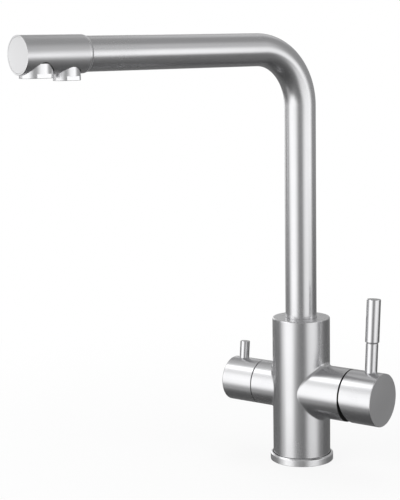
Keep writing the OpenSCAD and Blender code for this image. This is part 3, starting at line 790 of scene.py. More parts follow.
class Handling(Effect):
    """Faint wiped patches, where water and hands have left the surface a little duller."""

    WIPE_SCALE, MIDDLE = 26.0, 0.5
    inputs = {"Vector": "Vector", "Amount": "Float"}
    outputs = {"Dulling": "Float"}

    def wire(self, wiring: Wiring, given: Sockets) -> Sockets:
        """The dulling is broad noise about its middle, times the amount.

        Args:
            wiring: the group's own tree.
            given: the place and the amount.

        Returns:
            What is added to the roughness.
        """
        wiped = wiring.noise(given["Vector"], self.WIPE_SCALE, Detail=4.0)
        centred = wiring.reckon("SUBTRACT", wiped, self.MIDDLE)
        return {"Dulling": wiring.reckon("MULTIPLY", centred, given["Amount"])}


class MouldedSkin(Effect):
    """The fine spark eroded texture of a mould, with a slight unevenness of colour."""

    FLOW_SCALE = 90.0
    inputs = {"Vector": "Vector", "Fineness": "Float"}

    def wire(self, wiring: Wiring, given: Sockets) -> Sockets:
        """The height is fine grit, and the tone is broad noise."""
        return {"Height": wiring.noise(given["Vector"], given["Fineness"], Detail=2.0),
                "Tone": wiring.noise(given["Vector"], self.FLOW_SCALE)}


def shade(colour: Colour, share: float) -> tuple[float, float, float, float]:
    """The colour made lighter or darker by a share, with a full alpha."""
    red, green, blue = (min(1.0, c * share) for c in colour)
    return red, green, blue, 1.0


@dataclass(frozen=True)
class Finish:
    """A finish: its name, the record's slot, its colour, its roughness and the strength of its relief."""

    name: str
    slot: str
    colour: Colour
    roughness: float
    depth: float = 0.12

    def label(self, pattern: Pattern) -> str:
        """The name of the material for a pattern."""
        return self.name

    def wire(self, wiring: Wiring, pattern: Pattern) -> None:
        """Adds the material's nodes.

        Args:
            wiring: the material's tree.
            pattern: the piece's own grain coordinates, or Object coordinates for a CAD node.
        """
        raise NotImplementedError

    def lay(self, wiring: Wiring, colour: bpy.types.NodeSocket, rough: bpy.types.NodeSocket,
            height: bpy.types.NodeSocket, relief: float, **plain: float) -> None:
        """Joins the pattern to a Principled shader.

        Args:
            wiring: the material's tree.
            colour: the base colour.
            rough: the roughness.
            height: the height of the relief, from 0 to 1.
            relief: the depth that a height of 1 stands for, in metres.
            plain: values for the shader's own sockets, the same all over the surface.
        """
        bump = wiring.node("ShaderNodeBump", {"Height": height, "Strength": self.depth, "Distance": relief})
        shader = wiring.node("ShaderNodeBsdfPrincipled", {
            "Base Color": colour, "Roughness": rough, "Normal": bump.outputs["Normal"], **plain})
        wiring.node("ShaderNodeOutputMaterial", {"Surface": shader.outputs["BSDF"]})

    def material(self, pattern: Pattern) -> bpy.types.Material:
        """The finish's material for a pattern, made once.

        Args:
            pattern: where the material takes its coordinates from.

        Returns:
            The material.
        """
        label = self.label(pattern)
        if label not in bpy.data.materials:
            self.wire(Wiring.emptied(bpy.data.materials.new(label)), pattern)
        return bpy.data.materials[label]


@dataclass(frozen=True)
class Metal(Finish):
    """A brushed, turned or polished metal. Around and across are the scales of its lines."""

    around: float = 2200.0
    across: float = 35.0
    contrast: float = 0.07
    rubbed: float = 0.08
    wiped: float = 0.12
    bare: ClassVar[float] = 1.12
    relief: ClassVar[float] = 0.00002

    def label(self, pattern: Pattern) -> str:
        """The name of the material for a pattern, as a CAD node has no grain of its own."""
        return f"{self.name}_{pattern.value}"

    def wire(self, wiring: Wiring, pattern: Pattern) -> None:
        """Brushed lines and wiped patches, with worn edges where the piece has them.

        Args:
            wiring: the material's tree.
            pattern: the piece's own grain coordinates, or Object coordinates for a CAD node.
        """
        place = wiring.node("ShaderNodeTexCoord").outputs["Object"]
        grained = pattern is Pattern.GRAIN
        stretch = wiring.node("ShaderNodeMapping", {
            "Vector": wiring.attribute("grain", "Vector") if grained else place,
            "Scale": (self.around, self.around, self.across)})
        lines = BrushedLines().placed(wiring, {"Vector": stretch.outputs["Vector"]})
        wiped = Handling().placed(wiring, {"Vector": place, "Amount": self.wiped})
        colour = wiring.blend(lines["Tone"], shade(self.colour, 1.0 - self.contrast),
                              shade(self.colour, 1.0 + self.contrast))
        rough = wiring.reckon("MULTIPLY_ADD", lines["Tone"], self.contrast, self.roughness)
        rough = wiring.reckon("ADD", rough, wiped["Dulling"])
        if grained:
            edges = WornEdges().placed(wiring, {
                "Vector": place, "Worn": wiring.attribute("worn", "Fac"), "Rubbed": self.rubbed,
                "Colour": colour, "Bare Colour": shade(self.colour, self.bare), "Roughness": rough})
            colour, rough = edges["Colour"], edges["Roughness"]
        self.lay(wiring, colour, rough, lines["Height"], self.relief, Metallic=1.0)


@dataclass(frozen=True)
class Moulded(Finish):
    """A moulded plastic, rubber or pressed ceramic, or the near black painted as shade into gaps. Every
    pattern of it reads Object coordinates.
    """

    depth: float = 0.15
    fineness: float = 1800.0
    gloss: float = 0.0
    darker: ClassVar[float] = 0.92
    lighter: ClassVar[float] = 1.06
    spread: ClassVar[float] = 0.1
    relief: ClassVar[float] = 0.00005

    def wire(self, wiring: Wiring, pattern: Pattern) -> None:
        """The mould's texture, with a slight unevenness of colour and roughness.

        Args:
            wiring: the material's tree.
            pattern: makes no difference here.
        """
        place = wiring.node("ShaderNodeTexCoord").outputs["Object"]
        skin = MouldedSkin().placed(wiring, {"Vector": place, "Fineness": self.fineness})
        colour = wiring.blend(skin["Tone"], shade(self.colour, self.darker), shade(self.colour, self.lighter))
        rough = wiring.reckon("MULTIPLY_ADD", skin["Tone"], self.spread, self.roughness - self.spread / 2.0)
        self.lay(wiring, colour, rough, skin["Height"], self.relief, **{"Coat Weight": self.gloss})


BRUSHED = Metal("brushed_steel", "brushed_steel", (0.62, 0.62, 0.63), 0.22)
SATIN = Metal("satin_steel", "satin_steel", (0.63, 0.63, 0.64), 0.18, depth=0.06, contrast=0.03)
SLEEVED = Metal("sleeve_steel", "brushed_steel", (0.64, 0.64, 0.65), 0.28)
RINGED = Metal("ring_steel", "brushed_steel", (0.80, 0.80, 0.81), 0.25, contrast=0.1)
BRIGHT = Metal("bright_steel", "bright_steel", (0.78, 0.78, 0.79), 0.12, depth=0.04, contrast=0.02)
FACED = Metal("faced_steel", "brushed_steel", (0.75, 0.75, 0.76), 0.40, around=40.0, across=1800.0,
              contrast=0.03)
TURNED = Metal("turned_steel", "brushed_steel", (0.82, 0.82, 0.83), 0.26, around=40.0, across=1800.0,
               contrast=0.03)
LAPPED = Metal("lapped_steel", "bright_steel", (0.94, 0.94, 0.95), 0.18, depth=0.02, around=40.0,
               across=1800.0, contrast=0.005, wiped=0.04)
MILLED = Metal("milled_steel", "bright_steel", (0.78, 0.78, 0.79), 0.30, depth=0.05, around=60.0,
               across=1800.0, contrast=0.02)
BRASS = Metal("turned_brass", "brass", (0.72, 0.55, 0.28), 0.28, around=60.0, across=1400.0, contrast=0.08)
CERAMIC = Moulded("lapped_ceramic", "ceramic", (0.90, 0.89, 0.85), 0.18, depth=0.03, fineness=900.0,
                  gloss=0.3)
WHITE = Moulded("white_moulding", "white_plastic", (0.84, 0.85, 0.86), 0.45)
BLACK = Moulded("black_moulding", "black_plastic", (0.03, 0.03, 0.03), 0.5)
BLUE = Moulded("blue_moulding", "blue_plastic", (0.12, 0.30, 0.62), 0.4)
RUBBER = Moulded("seal_rubber", "rubber", (0.05, 0.05, 0.05), 0.7, depth=0.3, fineness=2600.0)
# painted shade: near black laid on the faces in gaps and grooves, and on the gap rings, where there is only
# shadow
PAINTED_GAP_SHADE = Moulded("painted_gap_shade", "black_plastic", (0.012, 0.012, 0.012), 0.85, depth=0.3, fineness=2600.0)

CAD_FINISHES: dict[Finish, tuple[str, ...]] = {
    BRIGHT: ("foot_screw", "pivot_pin", "hub_screw", "knob_screw"),
    BRASS: ("inlet_block", "filter_nipple", "cartridge_nut", "mixer_spindle", "headwork_housing",
            "headwork_nut", "filter_spindle", "spout_foot"),
    CERAMIC: ("fixed_disc", "moving_disc", "filter_fixed_disc", "filter_moving_disc"),
    WHITE: ("upper_bush", "lower_bush", "cartridge_base", "cartridge_housing", "cartridge_carrier",
            "disc_driver", "outlet_block", "main_aerator"),
    BLACK: ("hub_plug", "hose_clip"),
    # the gap rings sit in the barrels' mouths and wear the near black, so that the gaps show painted shade
    PAINTED_GAP_SHADE: ("mixer_gap_ring", "filter_gap_ring"),
    BLUE: ("filter_insert", "filter_hose"),
    RUBBER: ("base_gasket", "cartridge_seals", "headwork_seal", "spindle_seal", "foot_seals", "main_washer",
             "filter_washer"),
}


# pieces of the tap

COLUMN = Axes(np.zeros(3), UP, ALONG_X)
MIXER = Axes(UP * BARREL_AXIS_Z, ALONG_X, leaning(MIXER_REST_TURN))
FILTER = Axes(UP * BARREL_AXIS_Z, -ALONG_X, leaning(FILTER_REST_TURN))
LEVER = Axes(UP * BARREL_AXIS_Z + ALONG_X * LEVER_REACH, leaning(MIXER_REST_TURN), ALONG_X)
PIN = Axes(UP * BARREL_AXIS_Z - ALONG_X * PIN_REACH, leaning(FILTER_REST_TURN), ALONG_X)
SPOUT = Axes(UP * SPOUT_AXIS_Z, SPOUT_WAY, UP)

# how far edges are rounded, from one that is only deburred to one made for fingers
KEEN = 0.0001
CRISP = 0.0002
EASED = 0.0003
SOFT = 0.0004

Apart = list[tuple[Finish, Array]]
Steps = tuple[tuple[float, float], ...]


@dataclass
class Piece:
    """One piece of the tap, which stands for a CAD node and rides on that node's body."""

    node: ClassVar[str]
    body: ClassVar[str]
    finish: ClassVar[Finish]
    axes: ClassVar[Axes]
    NEAR: ClassVar[float] = 0.0005
    SQUARE: ClassVar[float] = 0.9999
    NEARLY_SQUARE: ClassVar[float] = 0.9
    TILTED: ClassVar[float] = 0.3

    def strips(self) -> list[Strip]:
        """The grids that make up the piece's surface."""
        raise NotImplementedError

    def turned(self, angles: Array, *sections: list[Corner]) -> list[Strip]:
        """Sections turned round the piece's axis, each given by its corners."""
        return [Strip.turned(self.axes, Profile.rounded(section), angles) for section in sections]

    def apart(self, looks: Array, middles: Array) -> Apart:
        """The faces with a finish of their own.

        Args:
            looks: each face's normal.
            middles: each face's middle.

        Returns:
            Each such finish, with a mask of its faces.
        """
        return []

    def dress(self, mesh: bpy.types.Mesh) -> None:
        """Gives the piece its finish, and some of its faces their own.

        Args:
            mesh: the piece's mesh.
        """
        mesh.materials.append(self.finish.material(Pattern.GRAIN))
        looks, middles = np.zeros((2, len(mesh.polygons), 3))
        mesh.polygons.foreach_get("normal", looks.ravel())
        mesh.polygons.foreach_get("center", middles.ravel())
        index = np.zeros(len(mesh.polygons), np.int32)
        for number, (finish, faces) in enumerate(self.apart(looks, middles), start=1):
            mesh.materials.append(finish.material(Pattern.GRAIN))
            index[faces] = number
        mesh.polygons.foreach_set("material_index", index)

    def build(self) -> bpy.types.Object:
        """Makes the piece, dresses it and sets it on its body.

        Returns:
            The piece's object.
        """
        made = placed(f"{self.node}_skin", Skin(self.node, self.strips()).mesh())
        self.dress(made.data)
        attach(made, self.body)
        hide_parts(self.node)
        return made


@dataclass
class TurnedPiece(Piece):
    """A piece that is one section turned round its axis."""

    around: ClassVar[int] = 72
    closed: ClassVar[bool] = False

    def corners(self) -> list[Corner]:
        """The section's corners."""
        raise NotImplementedError

    def strips(self) -> list[Strip]:
        """The section, turned."""
        return [Strip.turned(self.axes, Profile.rounded(self.corners(), self.closed), full_turn(self.around))]


@dataclass
class BaseRing(TurnedPiece):
    """The ring on the worktop, with its gasket's groove."""

    node = "base_ring"
    body = "tap_body"
    finish = RINGED
    axes = COLUMN
    around = 160
    closed = True
    radius: float = 0.0275
    band: float = 0.0055
    band_edge: float = 0.0005
    top: float = 0.0065
    slope: float = 0.001
    column: float = 0.02505
    seat: float = 0.003
    bore: float = 0.02205
    groove: tuple[float, float, float] = (0.02325, 0.02625, 0.0015)
    gap: float = 0.0006
    above_seat: float = 0.0002

    def apart(self, looks: Array, middles: Array) -> Apart:
        """The groove between the ring and the column, painted near black as painted shade."""
        reach = np.hypot(middles[:, 0], middles[:, 1])
        return [(PAINTED_GAP_SHADE, (reach < self.column + self.gap) & (middles[:, 2] > self.seat + self.above_seat))]

    def corners(self) -> list[Corner]:
        """A closed section: the underside with its groove, the band, the slope and the bore."""
        inner, outer, deep = self.groove
        return [(self.bore, 0.0, CRISP), (inner, 0.0, 0.0), (inner, deep, 0.0), (outer, deep, 0.0),
                (outer, 0.0, 0.0), (self.radius, 0.0, EASED), (self.radius, self.band, self.band_edge),
                (self.radius - self.slope, self.top, SOFT), (self.column + self.gap, self.top, CRISP),
                (self.column, self.top - self.gap, 0.0), (self.column, self.seat, 0.0),
                (self.bore, self.seat, 0.0)]


@dataclass
class TapBody(Piece):
    """The column with both barrel stubs, and the soft casting radius where they join."""

    node = "tap_body"
    body = "tap_body"
    finish = BRUSHED
    axes = COLUMN
    radius: float = 0.025
    foot: float = 0.003
    foot_band: float = 0.003
    top: float = 0.127
    top_band: float = 0.002
    top_edge: float = 0.0008
    block: tuple[float, float] = (0.02205, 0.033)
    collar: tuple[float, float] = (0.01365, 0.003)
    collar_shade: float = 0.00002
    collar_tilt: float = -0.5
    socket: tuple[float, float] = (0.0165, 0.084)
    fillet: float = 0.0032
    inside: float = 0.03
    mixer: float = 0.0228
    mixer_end: float = 0.0495
    mixer_pocket: Steps = ((0.0216, 0.0485), (0.01955, 0.0451), (0.01755, 0.019))
    filter: float = 0.0195
    filter_end: float = 0.0407
    filter_pocket: Steps = ((0.0183, 0.0398), (0.01505, 0.033), (0.01205, 0.02))
    shaded_end: float = 0.0015

    def column_ends(self) -> tuple[list[Corner], list[Corner]]:
        """The sections of the column's two ends.

        Returns:
            The corners of the foot with its pocket, and of the top with the spout's socket.
        """
        hole, lip = self.collar
        foot = pocket(self.foot, self.block)[::-1] + [
            (self.radius, self.foot, CRISP), (self.radius, self.foot + self.foot_band, 0.0)]
        head = [(self.radius, self.top - self.top_band, 0.0), (self.radius, self.top, self.top_edge)]
        head += pocket(self.top, (hole, self.top - lip), self.socket, edge=KEEN)
        return foot, head

    def barrel(self, radius: float, end: float, steps: Steps) -> Profile:
        """The section of a barrel stub, with the pocket for its cartridge or headwork."""
        side = [(radius, self.inside, 0.0), (radius, end, SOFT)]
        return Profile.rounded(side + pocket(end, *steps, edge=KEEN))

    def apart(self, looks: Array, middles: Array) -> Apart:
        """The turned top, and the faces painted near black as painted shade in the gaps: the barrels' ends
        and the spout's hole.

        Args:
            looks: each face's normal.
            middles: each face's middle.

        Returns:
            Both finishes, each with a mask of its faces.
        """
        hole, lip = self.collar
        top = facing(looks, middles, UP, self.SQUARE, self.top - self.NEAR)
        mixer = facing(looks, middles, ALONG_X, self.TILTED, self.mixer_end - self.shaded_end)
        valve = facing(looks, middles, -ALONG_X, self.NEARLY_SQUARE, self.filter_end - self.shaded_end)
        inner = np.hypot(middles[:, 0], middles[:, 1]) < hole + self.collar_shade
        collar = inner & facing(looks, middles, UP, self.collar_tilt, self.top - lip)
        # the barrels' ends and the collar's hole get the near black as painted shade
        return [(TURNED, top), (PAINTED_GAP_SHADE, mixer | valve | collar)]

    def strips(self) -> list[Strip]:
        """Two half sides of the column, each with its barrel, and the column's ends turned on.

        Returns:
            The grids.
        """
        barrels = ((0.0, self.mixer, self.mixer_end, self.mixer_pocket),
                   (math.pi, self.filter, self.filter_end, self.filter_pocket))
        pipes = []
        for angle, size, end, steps in barrels:
            junction = Junction(
                self.axes, self.radius, angle, BARREL_AXIS_Z, size, self.fillet, Meets.STANDS_ON)
            pipes.append((junction, self.barrel(size, end, steps)))
        sides, ring = half_sides(pipes, level(self.foot + self.foot_band), level(self.top - self.top_band))
        return sides + self.turned(ring, *self.column_ends())


@dataclass
class MixerHub(Piece):
    """The turning hub of the mixer, cut back below so that it can tip, with holes for lever and plug."""

    node = "mixer_hub"
    body = "mixer_handle"
    finish = BRUSHED
    axes = MIXER
    radius: float = 0.0228
    start: float = 0.0505
    start_band: float = 0.0012
    end: float = 0.081
    end_band: float = 0.001
    cavity: float = 0.0198
    cavity_start: float = 0.0565
    cavity_end: float = 0.077
    boss: tuple[float, float] = (0.0085, 0.056)
    relief_top: float = -0.00148
    relief_reach: float = 0.056
    lever: Corner = (LEVER_REACH, 0.0053, 0.0216)
    plug: Corner = (0.061, 0.00255, 0.0199)
    steps: int = 24

    def apart(self, looks: Array, middles: Array) -> Apart:
        """The turned end disc, and the rear face with its rounded edge painted near black as the gap's
        painted shade.
        """
        return [(FACED, facing(looks, middles, ALONG_X, self.SQUARE, self.end - self.NEAR)),
                (PAINTED_GAP_SHADE, facing(looks, middles, -ALONG_X, self.TILTED, -self.relief_reach))]

    def relief(self, radius: Array, angle: Array) -> Array:
        """How far the hub is cut back: below the relief's top, the drop times the tangent of the lift."""
        drop = self.relief_top - radius * np.cos(angle)
        return np.maximum(drop, 0.0) * math.tan(MIXER_LIFT)

    def rear(self, angles: Array) -> Strip:
        """The rear face and its two rounded edges, moved along the barrel by the relief.

        Args:
            angles: the angles of the strip's rows.

        Returns:
            The strip.
        """
        profile = Profile.rounded([
            (self.cavity, self.cavity_start, 0.0), (self.cavity, self.start, EASED),
            (self.radius, self.start, SOFT), (self.radius, self.start + self.start_band, 0.0)])
        flat = Strip.turned(self.axes, profile, angles)
        angle = angles[:, None]
        moved = self.relief(profile.radius[None], angle) * (profile.along[None] < self.relief_reach)
        points = self.axes.points(profile.radius[None], angle, profile.along[None] + moved)
        return Strip.shaped(points, flat.normals, flat.grain, flat.worn)

    def strips(self) -> list[Strip]:
        """Two half sides with their holes, the rear face, the end disc and the hollow inside.

        Returns:
            The grids.
        """
        boss, boss_start = self.boss
        pipes = [bored(self.axes, self.radius, 0.0, self.lever, EASED),
                 bored(self.axes, self.radius, math.pi, self.plug, CRISP)]
        sides, ring = half_sides(
            pipes, lambda angles: self.start + self.start_band + self.relief(self.radius, angles),
            level(self.end - self.end_band), up=self.steps)
        inside = [(0.0, boss_start, 0.0), (boss, boss_start, EASED), (boss, self.cavity_end, EASED),
                  (self.cavity, self.cavity_end, EASED), (self.cavity, self.cavity_start, 0.0)]
        disc = [(self.radius, self.end - self.end_band, 0.0), (self.radius, self.end, SOFT),
                (0.0, self.end, 0.0)]
        return sides + [self.rear(ring)] + self.turned(ring, inside, disc)


@dataclass
class LeverRod(TurnedPiece):
    """The lever's lower rod, with the threaded stud that runs through it."""

    node = "lever_rod"
    body = "mixer_handle"
    finish = SATIN
    axes = LEVER
    radius: float = 0.00525
    foot: float = 0.0216
    top: float = 0.0474
    stud: tuple[float, float, float] = (0.003, 0.01005, 0.0594)

    def corners(self) -> list[Corner]:
        """A stepped section, from the stud's lower end to its upper one."""
        thin, low, high = self.stud
        return [(0.0, low, 0.0), (thin, low, EASED), (thin, self.foot, 0.0), (self.radius, self.foot, CRISP),
                (self.radius, self.top, SOFT), (thin, self.top, 0.0), (thin, high, EASED), (0.0, high, 0.0)]


@dataclass
class LeverGrip(TurnedPiece):
    """The lever's thicker grip, with a chamfer at its foot."""

    node = "lever_grip"
    body = "mixer_handle"
    finish = SATIN
    axes = LEVER
    radius: float = 0.006
    foot: float = 0.0474
    top: float = 0.085
    top_edge: float = 0.0007
    chamfer: float = 0.0012
    bore: tuple[float, float] = (0.00305, 0.05945)

    def corners(self) -> list[Corner]:
        """A chamfered section, bored for the stud."""
        return pocket(self.foot, self.bore, edge=CRISP)[::-1] + [
            (self.radius - self.chamfer, self.foot, CRISP), (self.radius, self.foot + self.chamfer, SOFT),
            (self.radius, self.top, self.top_edge), (0.0, self.top, 0.0)]


@dataclass
class FilterKnob(Piece):
    """The filter valve's knob, with its rounded outer edge and the pin's seat."""

    node = "filter_knob"
    body = "filter_handle"
    finish = BRUSHED
    axes = FILTER
    radius: float = 0.0195
    start: float = 0.0413
    start_band: float = 0.001
    end: float = 0.072
    end_band: float = 0.003
    edge: float = 0.0011
    cavity: tuple[float, float] = (0.0168, 0.0685)
    boss: tuple[float, float] = (0.007, 0.044)
    pin: Corner = (PIN_REACH, 0.00435, 0.0186)
    screw: Corner = (0.052, 0.00155, 0.0170)
    steps: int = 24

    def apart(self, looks: Array, middles: Array) -> Apart:
        """The turned end disc, and the rear face painted near black as the gap's painted shade."""
        return [(FACED, facing(looks, middles, -ALONG_X, self.SQUARE, self.end - self.NEAR)),
                (PAINTED_GAP_SHADE, facing(looks, middles, ALONG_X, self.NEARLY_SQUARE, -self.start - self.NEAR))]

    def strips(self) -> list[Strip]:
        """Two half sides with their holes, closed by the hollow inside and the rounded end.

        Returns:
            The grids.
        """
        hollow, hollow_end = self.cavity
        boss, boss_start = self.boss
        low, high = self.start + self.start_band, self.end - self.end_band
        pipes = [bored(self.axes, self.radius, angle, hole, CRISP)
                 for angle, hole in ((0.0, self.pin), (math.pi, self.screw))]
        sides, ring = half_sides(pipes, level(low), level(high), up=self.steps)
        inside = Profile.rounded([
            (0.0, boss_start, 0.0), (boss, boss_start, EASED), (boss, hollow_end, EASED),
            (hollow, hollow_end, EASED), (hollow, self.start, EASED), (self.radius, self.start, SOFT),
            (self.radius, low, 0.0)])
        disc = Profile.rounded([
            (self.radius, high, 0.0), (self.radius, self.end, self.edge), (0.0, self.end, 0.0)], steps=8)
        return sides + [Strip.turned(self.axes, profile, ring) for profile in (inside, disc)]


@dataclass
class FilterPin(TurnedPiece):
    """The short pin that turns the filter valve's knob."""

    node = "filter_pin"
    body = "filter_handle"
    finish = SATIN
    axes = PIN
    radius: float = 0.0043
    foot: float = 0.0186
    top: float = 0.0344
    top_edge: float = 0.0005
    stud: tuple[float, float] = (0.0025, 0.00705)

    def corners(self) -> list[Corner]:
        """A stepped section, from the stud's end to the pin's top."""
        thin, low = self.stud
        return [(0.0, low, 0.0), (thin, low, EASED), (thin, self.foot, 0.0), (self.radius, self.foot, CRISP),
                (self.radius, self.top, self.top_edge), (0.0, self.top, 0.0)]


@dataclass
class SpoutTube(Piece):
    """The bent tube of the spout."""

    node = "spout_tube"
    body = "spout"
    finish = BRUSHED
    radius: float = 0.0135
    wall: float = 0.0012
    start: float = 0.1078
    bend: float = 0.048
    end: float = 0.2231
    straight_rows: int = 25
    bend_rows: int = 65
    around: int = 96

    def line(self) -> tuple[Array, Array, Array]:
        """The tube's middle line: up, round a quarter circle, and out along the spout.

        Returns:
            The points, the unit ways on, and the way along the line to each point.
        """
        level_end = SPOUT_AXIS_Z - self.bend
        rise = np.linspace(self.start, level_end, self.straight_rows)[:-1, None] * UP
        quarter = np.linspace(0.0, math.pi / 2.0, self.bend_rows)[:, None]
        centre = SPOUT_WAY * self.bend + UP * level_end
        curve = centre - SPOUT_WAY * self.bend * np.cos(quarter) + UP * self.bend * np.sin(quarter)
        out = SPOUT_WAY * np.linspace(self.bend, self.end, self.straight_rows)[1:, None] + UP * SPOUT_AXIS_Z
        ways = np.concatenate((np.repeat(UP[None], len(rise), axis=0),
                               SPOUT_WAY * np.sin(quarter) + UP * np.cos(quarter),
                               np.repeat(SPOUT_WAY[None], len(out), axis=0)))
        points = np.concatenate((rise, curve, out))
        steps = np.linalg.norm(np.diff(points, axis=0), axis=1)
        return points, ways, np.concatenate(([0.0], np.cumsum(steps)))

    def wall_strip(self, radius: float, sign: float) -> Strip:
        """One side of the tube's wall: circles of one radius round the middle line.

        A point is the line's point plus the radius times (the side times the cosine, plus the line's
        own normal times the sine).

        Args:
            radius: the circles' radius.
            sign: 1 for the outside and -1 for the inside.

        Returns:
            The strip, with a row for each angle.
        """
        line, ways, along = self.line()
        angle = full_turn(self.around)[:, None]
        normal = np.cross(ways, SPOUT_SIDE)[None]
        spokes = np.cos(angle)[..., None] * SPOUT_SIDE + np.sin(angle)[..., None] * normal
        grain = wrapped(angle, radius, along[None])
        return Strip(line[None] + radius * spokes, sign * spokes, grain, np.zeros(spokes.shape[:2]))

    def end_ring(self, outer: Strip, inner: Strip, column: int, way: Array) -> Strip:
        """The flat ring between the two sides of the wall at one end.

        Args:
            outer: the wall's outside.
            inner: the wall's inside.
            column: the column of both grids at that end.
            way: the direction that the ring faces.

        Returns:
            The ring.
        """
        points, grain, worn = (
            np.stack((getattr(outer, part)[:, column], getattr(inner, part)[:, column]), axis=1)
            for part in ("points", "grain", "worn"))
        return Strip(points, np.broadcast_to(way, points.shape), grain, worn)

    def strips(self) -> list[Strip]:
        """The outside, the inside and both end rings.

        Returns:
            The grids.
        """
        outer = self.wall_strip(self.radius, 1.0)
        inner = self.wall_strip(self.radius - self.wall, -1.0)
        return [outer, inner, self.end_ring(outer, inner, 0, -UP), self.end_ring(outer, inner, -1, SPOUT_WAY)]


@dataclass
class SpoutHead(Piece):
    """The spout's thicker head, with a hole below for each outlet and a slope behind."""

    node = "spout_head"
    body = "spout"
    finish = SLEEVED
    axes = SPOUT
    radius: float = 0.01457
    back: float = 0.2186
    start: float = 0.2216
    start_bend: float = 0.008
    end: float = 0.27595
    band: float = 0.0015
    socket: tuple[float, float] = (0.01355, 0.2231)
    step: float = 0.0138
    shoulder: Corner = (0.01443, 0.0012, 0.004)
    cap: tuple[float, float] = (0.01335, 0.2743)
    between: float = 0.2464
    main: Corner = (MAIN_REACH, 0.0134, 0.0046)
    filtered: Corner = (FILTERED_REACH, 0.01105, 0.0080)
    hole_edge: float = 0.00012
    around: int = 128
    steps: int = 24

    def apart(self, looks: Array, middles: Array) -> Apart:
        """The tip's rim, lapped together with the cap."""
        return [(LAPPED, facing(looks, middles, SPOUT_WAY, self.NEARLY_SQUARE, self.end - self.NEAR))]

    def strips(self) -> list[Strip]:
        """The side in two rings, each with its outlet's hole, then the slope behind and the rim in front.

        Returns:
            The grids.
        """
        front, rear = self.end - self.band, self.start + self.band
        strips = []
        for hole, low, high in ((self.main, self.between, front), (self.filtered, rear, self.between)):
            junction, section = bored(self.axes, self.radius, math.pi, hole, self.hole_edge)
            window = Window(junction, math.pi, level(low), level(high), around=self.around, up=self.steps)
            strips += window.strips(section)
        shoulder, shoulder_way, shoulder_bend = self.shoulder
        slope = pocket(self.back, self.socket, edge=KEEN)[::-1] + [
            (self.step, self.back, KEEN), (shoulder, self.back + shoulder_way, shoulder_bend),
            (self.radius, self.start, self.start_bend), (self.radius, rear, 0.0)]
        rim = [(self.radius, front, 0.0), (self.radius, self.end, CRISP)]
        rim += pocket(self.end, self.cap, edge=KEEN)
        return strips + self.turned(full_turn(self.around), slope, rim)


@dataclass
class HeadCap(TurnedPiece):
    """The flat disc that closes the head's tip."""

    node = "head_cap"
    body = "spout"
    finish = LAPPED
    axes = SPOUT
    around = 128
    radius: float = 0.0133
    back: float = 0.2743
    front: float = 0.27585

    def corners(self) -> list[Corner]:
        """A thin disc with a softened edge."""
        return [(0.0, self.back, 0.0), (self.radius, self.back, KEEN), (self.radius, self.front, KEEN),
                (0.0, self.front, 0.0)]


@dataclass
class Outlet(Piece):
    """An outlet's housing: a skirt with two spanner flats, bored for its insert."""

    node = "main_outlet"
    body = "spout"
    finish = MILLED
    axes = Axes(SPOUT_WAY * MAIN_REACH + UP * SPOUT_AXIS_Z, UP, SPOUT_SIDE)
    radius: float = 0.0129
    flat: float = 0.0114
    foot: float = -0.017
    edge: float = 0.00025
    ledge: float = -0.0137
    top: float = -0.0064
    bore: tuple[float, float] = (0.0106, -0.0098)
    neck: tuple[float, float] = (0.0085, -0.0014)
    rows: int = 33

    def sector(self, first: float, last: float, flat: float) -> list[Strip]:
        """The skirt over one range of angles.

        Below the ledge, the radius is the flat's distance over the cosine of the angle from the flat's
        middle, where the flat cuts the skirt, and the full radius elsewhere.

        Args:
            first: the angle at which the sector starts.
            last: the angle at which it ends.
            flat: the middle of the sector's flat, or NaN where the skirt is round.

        Returns:
            The bottom face, its edge, the lower side, the ledge and the upper side.
        """
        angle = np.linspace(first, last, self.rows)[:, None]
        here = not math.isnan(flat)
        lower = self.flat / np.cos(angle - flat) if here else np.full(angle.shape, self.radius)
        across = np.full(angle.shape, flat) if here else angle
        bore, _ = self.bore
        edge = self.edge
        rows = (
            ((bore, self.foot), (lower - edge, self.foot), (0.0, -1.0), 0.0),
            ((lower - edge, self.foot), (lower, self.foot + edge), (0.7, -0.7), 1.0),
            ((lower, self.foot + edge), (lower, self.ledge), (1.0, 0.0), 0.0),
            ((lower, self.ledge), (self.radius, self.ledge), (0.0, -1.0), 0.0),
            ((self.radius, self.ledge), (self.radius, self.top), (1.0, 0.0), 0.0),
        )
        strips = []
        for (r0, z0), (r1, z1), (out, on), worn in rows:
            radius = np.concatenate((r0 + 0.0 * angle, r1 + 0.0 * angle), axis=1)
            height = np.broadcast_to(np.array((z0, z1)), radius.shape)
            points = self.axes.points(radius, angle, height)
            normals = self.axes.normals(out, angle if z0 >= self.ledge else across, on)
            grain = wrapped(angle, self.radius, height + radius)
            strips.append(Strip(points, np.broadcast_to(normals, points.shape), grain,
                                np.full(radius.shape, worn)))
        return strips

    def strips(self) -> list[Strip]:
        """Four sectors of the skirt, closed above by the neck and below by the bore.

        Returns:
            The grids.
        """
        half = math.acos(self.flat / self.radius)
        spans = ((-half, half, 0.0), (half, math.pi - half, math.nan),
                 (math.pi - half, math.pi + half, math.pi), (math.pi + half, TURN - half, math.nan))
        strips = [strip for first, last, flat in spans for strip in self.sector(first, last, flat)]
        starts = [np.linspace(first, last, self.rows)[:-1] for first, last, _ in spans]
        ring = np.concatenate(starts + [[TURN - half]])
        neck, neck_top = self.neck
        above = [(self.radius, self.top, 0.0), (neck, self.top, 0.0), (neck, neck_top, 0.0),
                 (0.0, neck_top, 0.0)]
        below = pocket(self.foot, self.bore)[::-1]
        return strips + self.turned(ring, above, below)


@dataclass
class FilteredOutlet(Outlet):
    """The smaller outlet for filtered water."""

    node = "filter_outlet"
    axes = Axes(SPOUT_WAY * FILTERED_REACH + UP * SPOUT_AXIS_Z, UP, SPOUT_SIDE)
    radius: float = 0.01055
    flat: float = 0.00905
    foot: float = -0.0194
    ledge: float = -0.0161
    top: float = -0.0092
    bore: tuple[float, float] = (0.00825, -0.0122)
    neck: tuple[float, float] = (0.0065, -0.0042)


# studio


